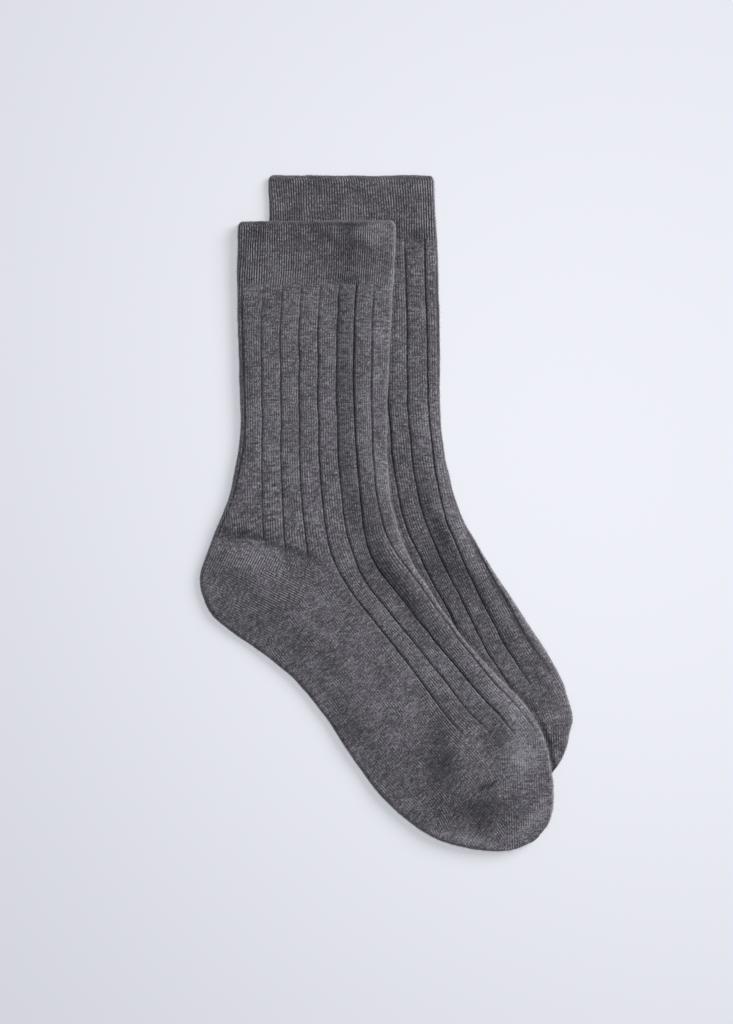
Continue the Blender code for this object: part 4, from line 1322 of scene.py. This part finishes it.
UPPER_SEAM = (((54.0, -119.8), (58.0, -117.6), (64.0, -115.4), (70.0, -113.6)),)
LOWER_SEAM = (
    ((66.0, -106.0), (76.0, -105.2), (85.0, -103.0), (93.0, -101.6)),
    ((69.0, -108.2), (78.0, -107.6), (87.0, -105.6), (93.0, -104.8)),
)
SEAM = {
    "Spacing": 1.1 * MM,
    "Stitch size": (1.15 * MM, 0.42 * MM, 0.40 * MM),
    "Slant": 0.5,
    "Material": plain_wool("linked_light_yarn", "#8b8a91"),  # lighter than the knit, for the light lines of the seam and of the cuff's edge
}
bpy.context.view_layer.update()
links = seam_tree()
lower_seam = grown("lower_toe_seam", line_on_cloth(lower_knit, LOWER_SEAM, 0.10), links, SEAM)
upper_seam = grown("upper_toe_seam", line_on_cloth(upper_knit, UPPER_SEAM, -0.08), links, SEAM)

# %% [markdown]
# ## The turned edge of the cuff
#
# The cuff is a double band, and along the fold of its under layer the loops stand up as a light line that
# shows past the top layer. The tree of the seam makes them too, with smaller and closer beads.

# %% Loops along the upper cuff's edge
UPPER_EDGE = (((-47.0, 147.0), (-30.0, 147.15), (-8.0, 147.2), (2.6, 147.0)),)
EDGE = {**SEAM, "Spacing": 1.15 * MM, "Stitch size": (0.95 * MM, 0.60 * MM, 0.55 * MM), "Slant": 1.2}
upper_edge = grown("upper_cuff_edge", line_on_cloth(upper_knit, UPPER_EDGE, 0.05), links, EDGE)

# %% [markdown]
# ## Put each wall in place of its solid
#
# Each knitted wall takes the place of its plain solid, which is hidden, and it and the pieces on it are
# attached to the root. It is one sheet of cloth knitted as a tube.


def declare_cloth(knit, node_name, on_it):
    """Attach the knit and the pieces on it to the root, and hide the solid that the knit stands for."""
    for piece in (knit, *on_it):
        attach(piece, "root")
    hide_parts(node_name)
    print(knit.name, "stands for", node_name, "and carries", [piece.name for piece in on_it])


declare_cloth(lower_knit, "lower_sock", (lower_fuzz, lower_seam))
declare_cloth(upper_knit, "upper_sock", (upper_fuzz, upper_seam, upper_edge))

# %% [markdown]
# ## Table, light and camera
#
# The table is a plain pale sheet without an edge in view. It glows a little, most in a pool under the socks
# that falls off around them: a painted pool of light, which also keeps the shadows on it faint. One large
# soft light comes from the right and a little from above in the picture, and the pale surroundings fill the
# rest. The camera looks straight down from 1.6 m with a long lens, which keeps the outline true.

# %% Table
# the painted pool of light that the board glows with: where its middle is, and how it is turned and stretched
PAINTED_LIGHT_POOL = {
    "Location": (55 * MM, 0.0, 0.0),
    "Rotation": (0.0, 0.0, math.radians(-55)),
    "Scale": (1.06, 0.86, 1.0),
}
PAINTED_LIGHT_POOL_REACH = 0.5  # in metres, from the middle of the pool to where it ends
GLOW_INSIDE, GLOW_OUTSIDE = 0.588, 0.41
TABLE_HALF = 3.0  # wide enough to fill every view
TABLE_TOP = -0.2 * MM


def pale_table():
    """A matt pale board with no gloss, which glows in a painted pool of light, so that only soft shadows show
    on it.
    """
    material, tree, shader = new_material(
        "pale_board_painted_light_pool", Base_Color=linear("#a4a6ad"), Emission_Color=linear("#ebecf3"),
        Roughness=0.85, Specular_IOR_Level=0.1,
    )
    # the painted pool of light, a glow of the board, is strongest under the socks and falls off around them,
    # a little slower along the way from the upper left to the lower right
    place = node(tree, "ShaderNodeTexCoord").outputs["Object"]
    pool = node(tree, "ShaderNodeMapping", {"vector_type": "TEXTURE"}, Vector=place, **PAINTED_LIGHT_POOL)
    away = node(tree, "ShaderNodeVectorMath", {"operation": "LENGTH"}, pool).outputs["Value"]
    glow = node(
        tree, "ShaderNodeMapRange", {"interpolation_type": "SMOOTHSTEP"},
        Value=away, From_Max=PAINTED_LIGHT_POOL_REACH, To_Min=GLOW_INSIDE, To_Max=GLOW_OUTSIDE,
    )
    tree.links.new(glow.outputs[0], shader.inputs["Emission Strength"])
    return material


table_mesh = bpy.data.meshes.new("table")
corners = [(x * TABLE_HALF, y * TABLE_HALF, TABLE_TOP) for x, y in ((-1, -1), (1, -1), (1, 1), (-1, 1))]
table_mesh.from_pydata(corners, [], [(0, 1, 2, 3)])
table_mesh.materials.append(pale_table())
add_object("table", table_mesh)
print("table", 2 * TABLE_HALF, "m wide")

# %% Light
world = bpy.data.worlds.new("pale_room")
world.use_nodes = True
background = world.node_tree.nodes["Background"]
background.inputs["Color"].default_value = linear("#eef0f6")
background.inputs["Strength"].default_value = 0.33
bpy.context.scene.world = world

light = bpy.data.lights.new("soft_window", "AREA")
light.shape, light.size, light.energy, light.color = "DISK", 1.7, 93.0, linear("#fffdfb")[:3]
window = add_object("soft_window", light)
window.location = (1.85, 1.2, 1.565)
window.rotation_euler = (-window.location).to_track_quat("-Z", "Y").to_euler()  # it faces the socks
print("the light is", round(window.location.length, 2), "m away")

# %% Camera
CENTRE = (-9.8 * MM, 0.86 * MM, 3.0 * MM)
DISTANCE = 1.6
VIEW_HEIGHT = 515.1 * MM  # what the frame's long side covers at the socks
lens = bpy.data.cameras.new("camera")
lens.sensor_width = 36.0
lens.lens = lens.sensor_width * DISTANCE / VIEW_HEIGHT
camera = add_object("camera", lens)
camera.location = (CENTRE[0], CENTRE[1], CENTRE[2] + DISTANCE)
bpy.context.scene.camera = camera
bpy.context.scene.view_settings.view_transform = "Standard"
print("lens", round(lens.lens, 1), "mm")

# %% Finish
bpy.context.view_layer.update()
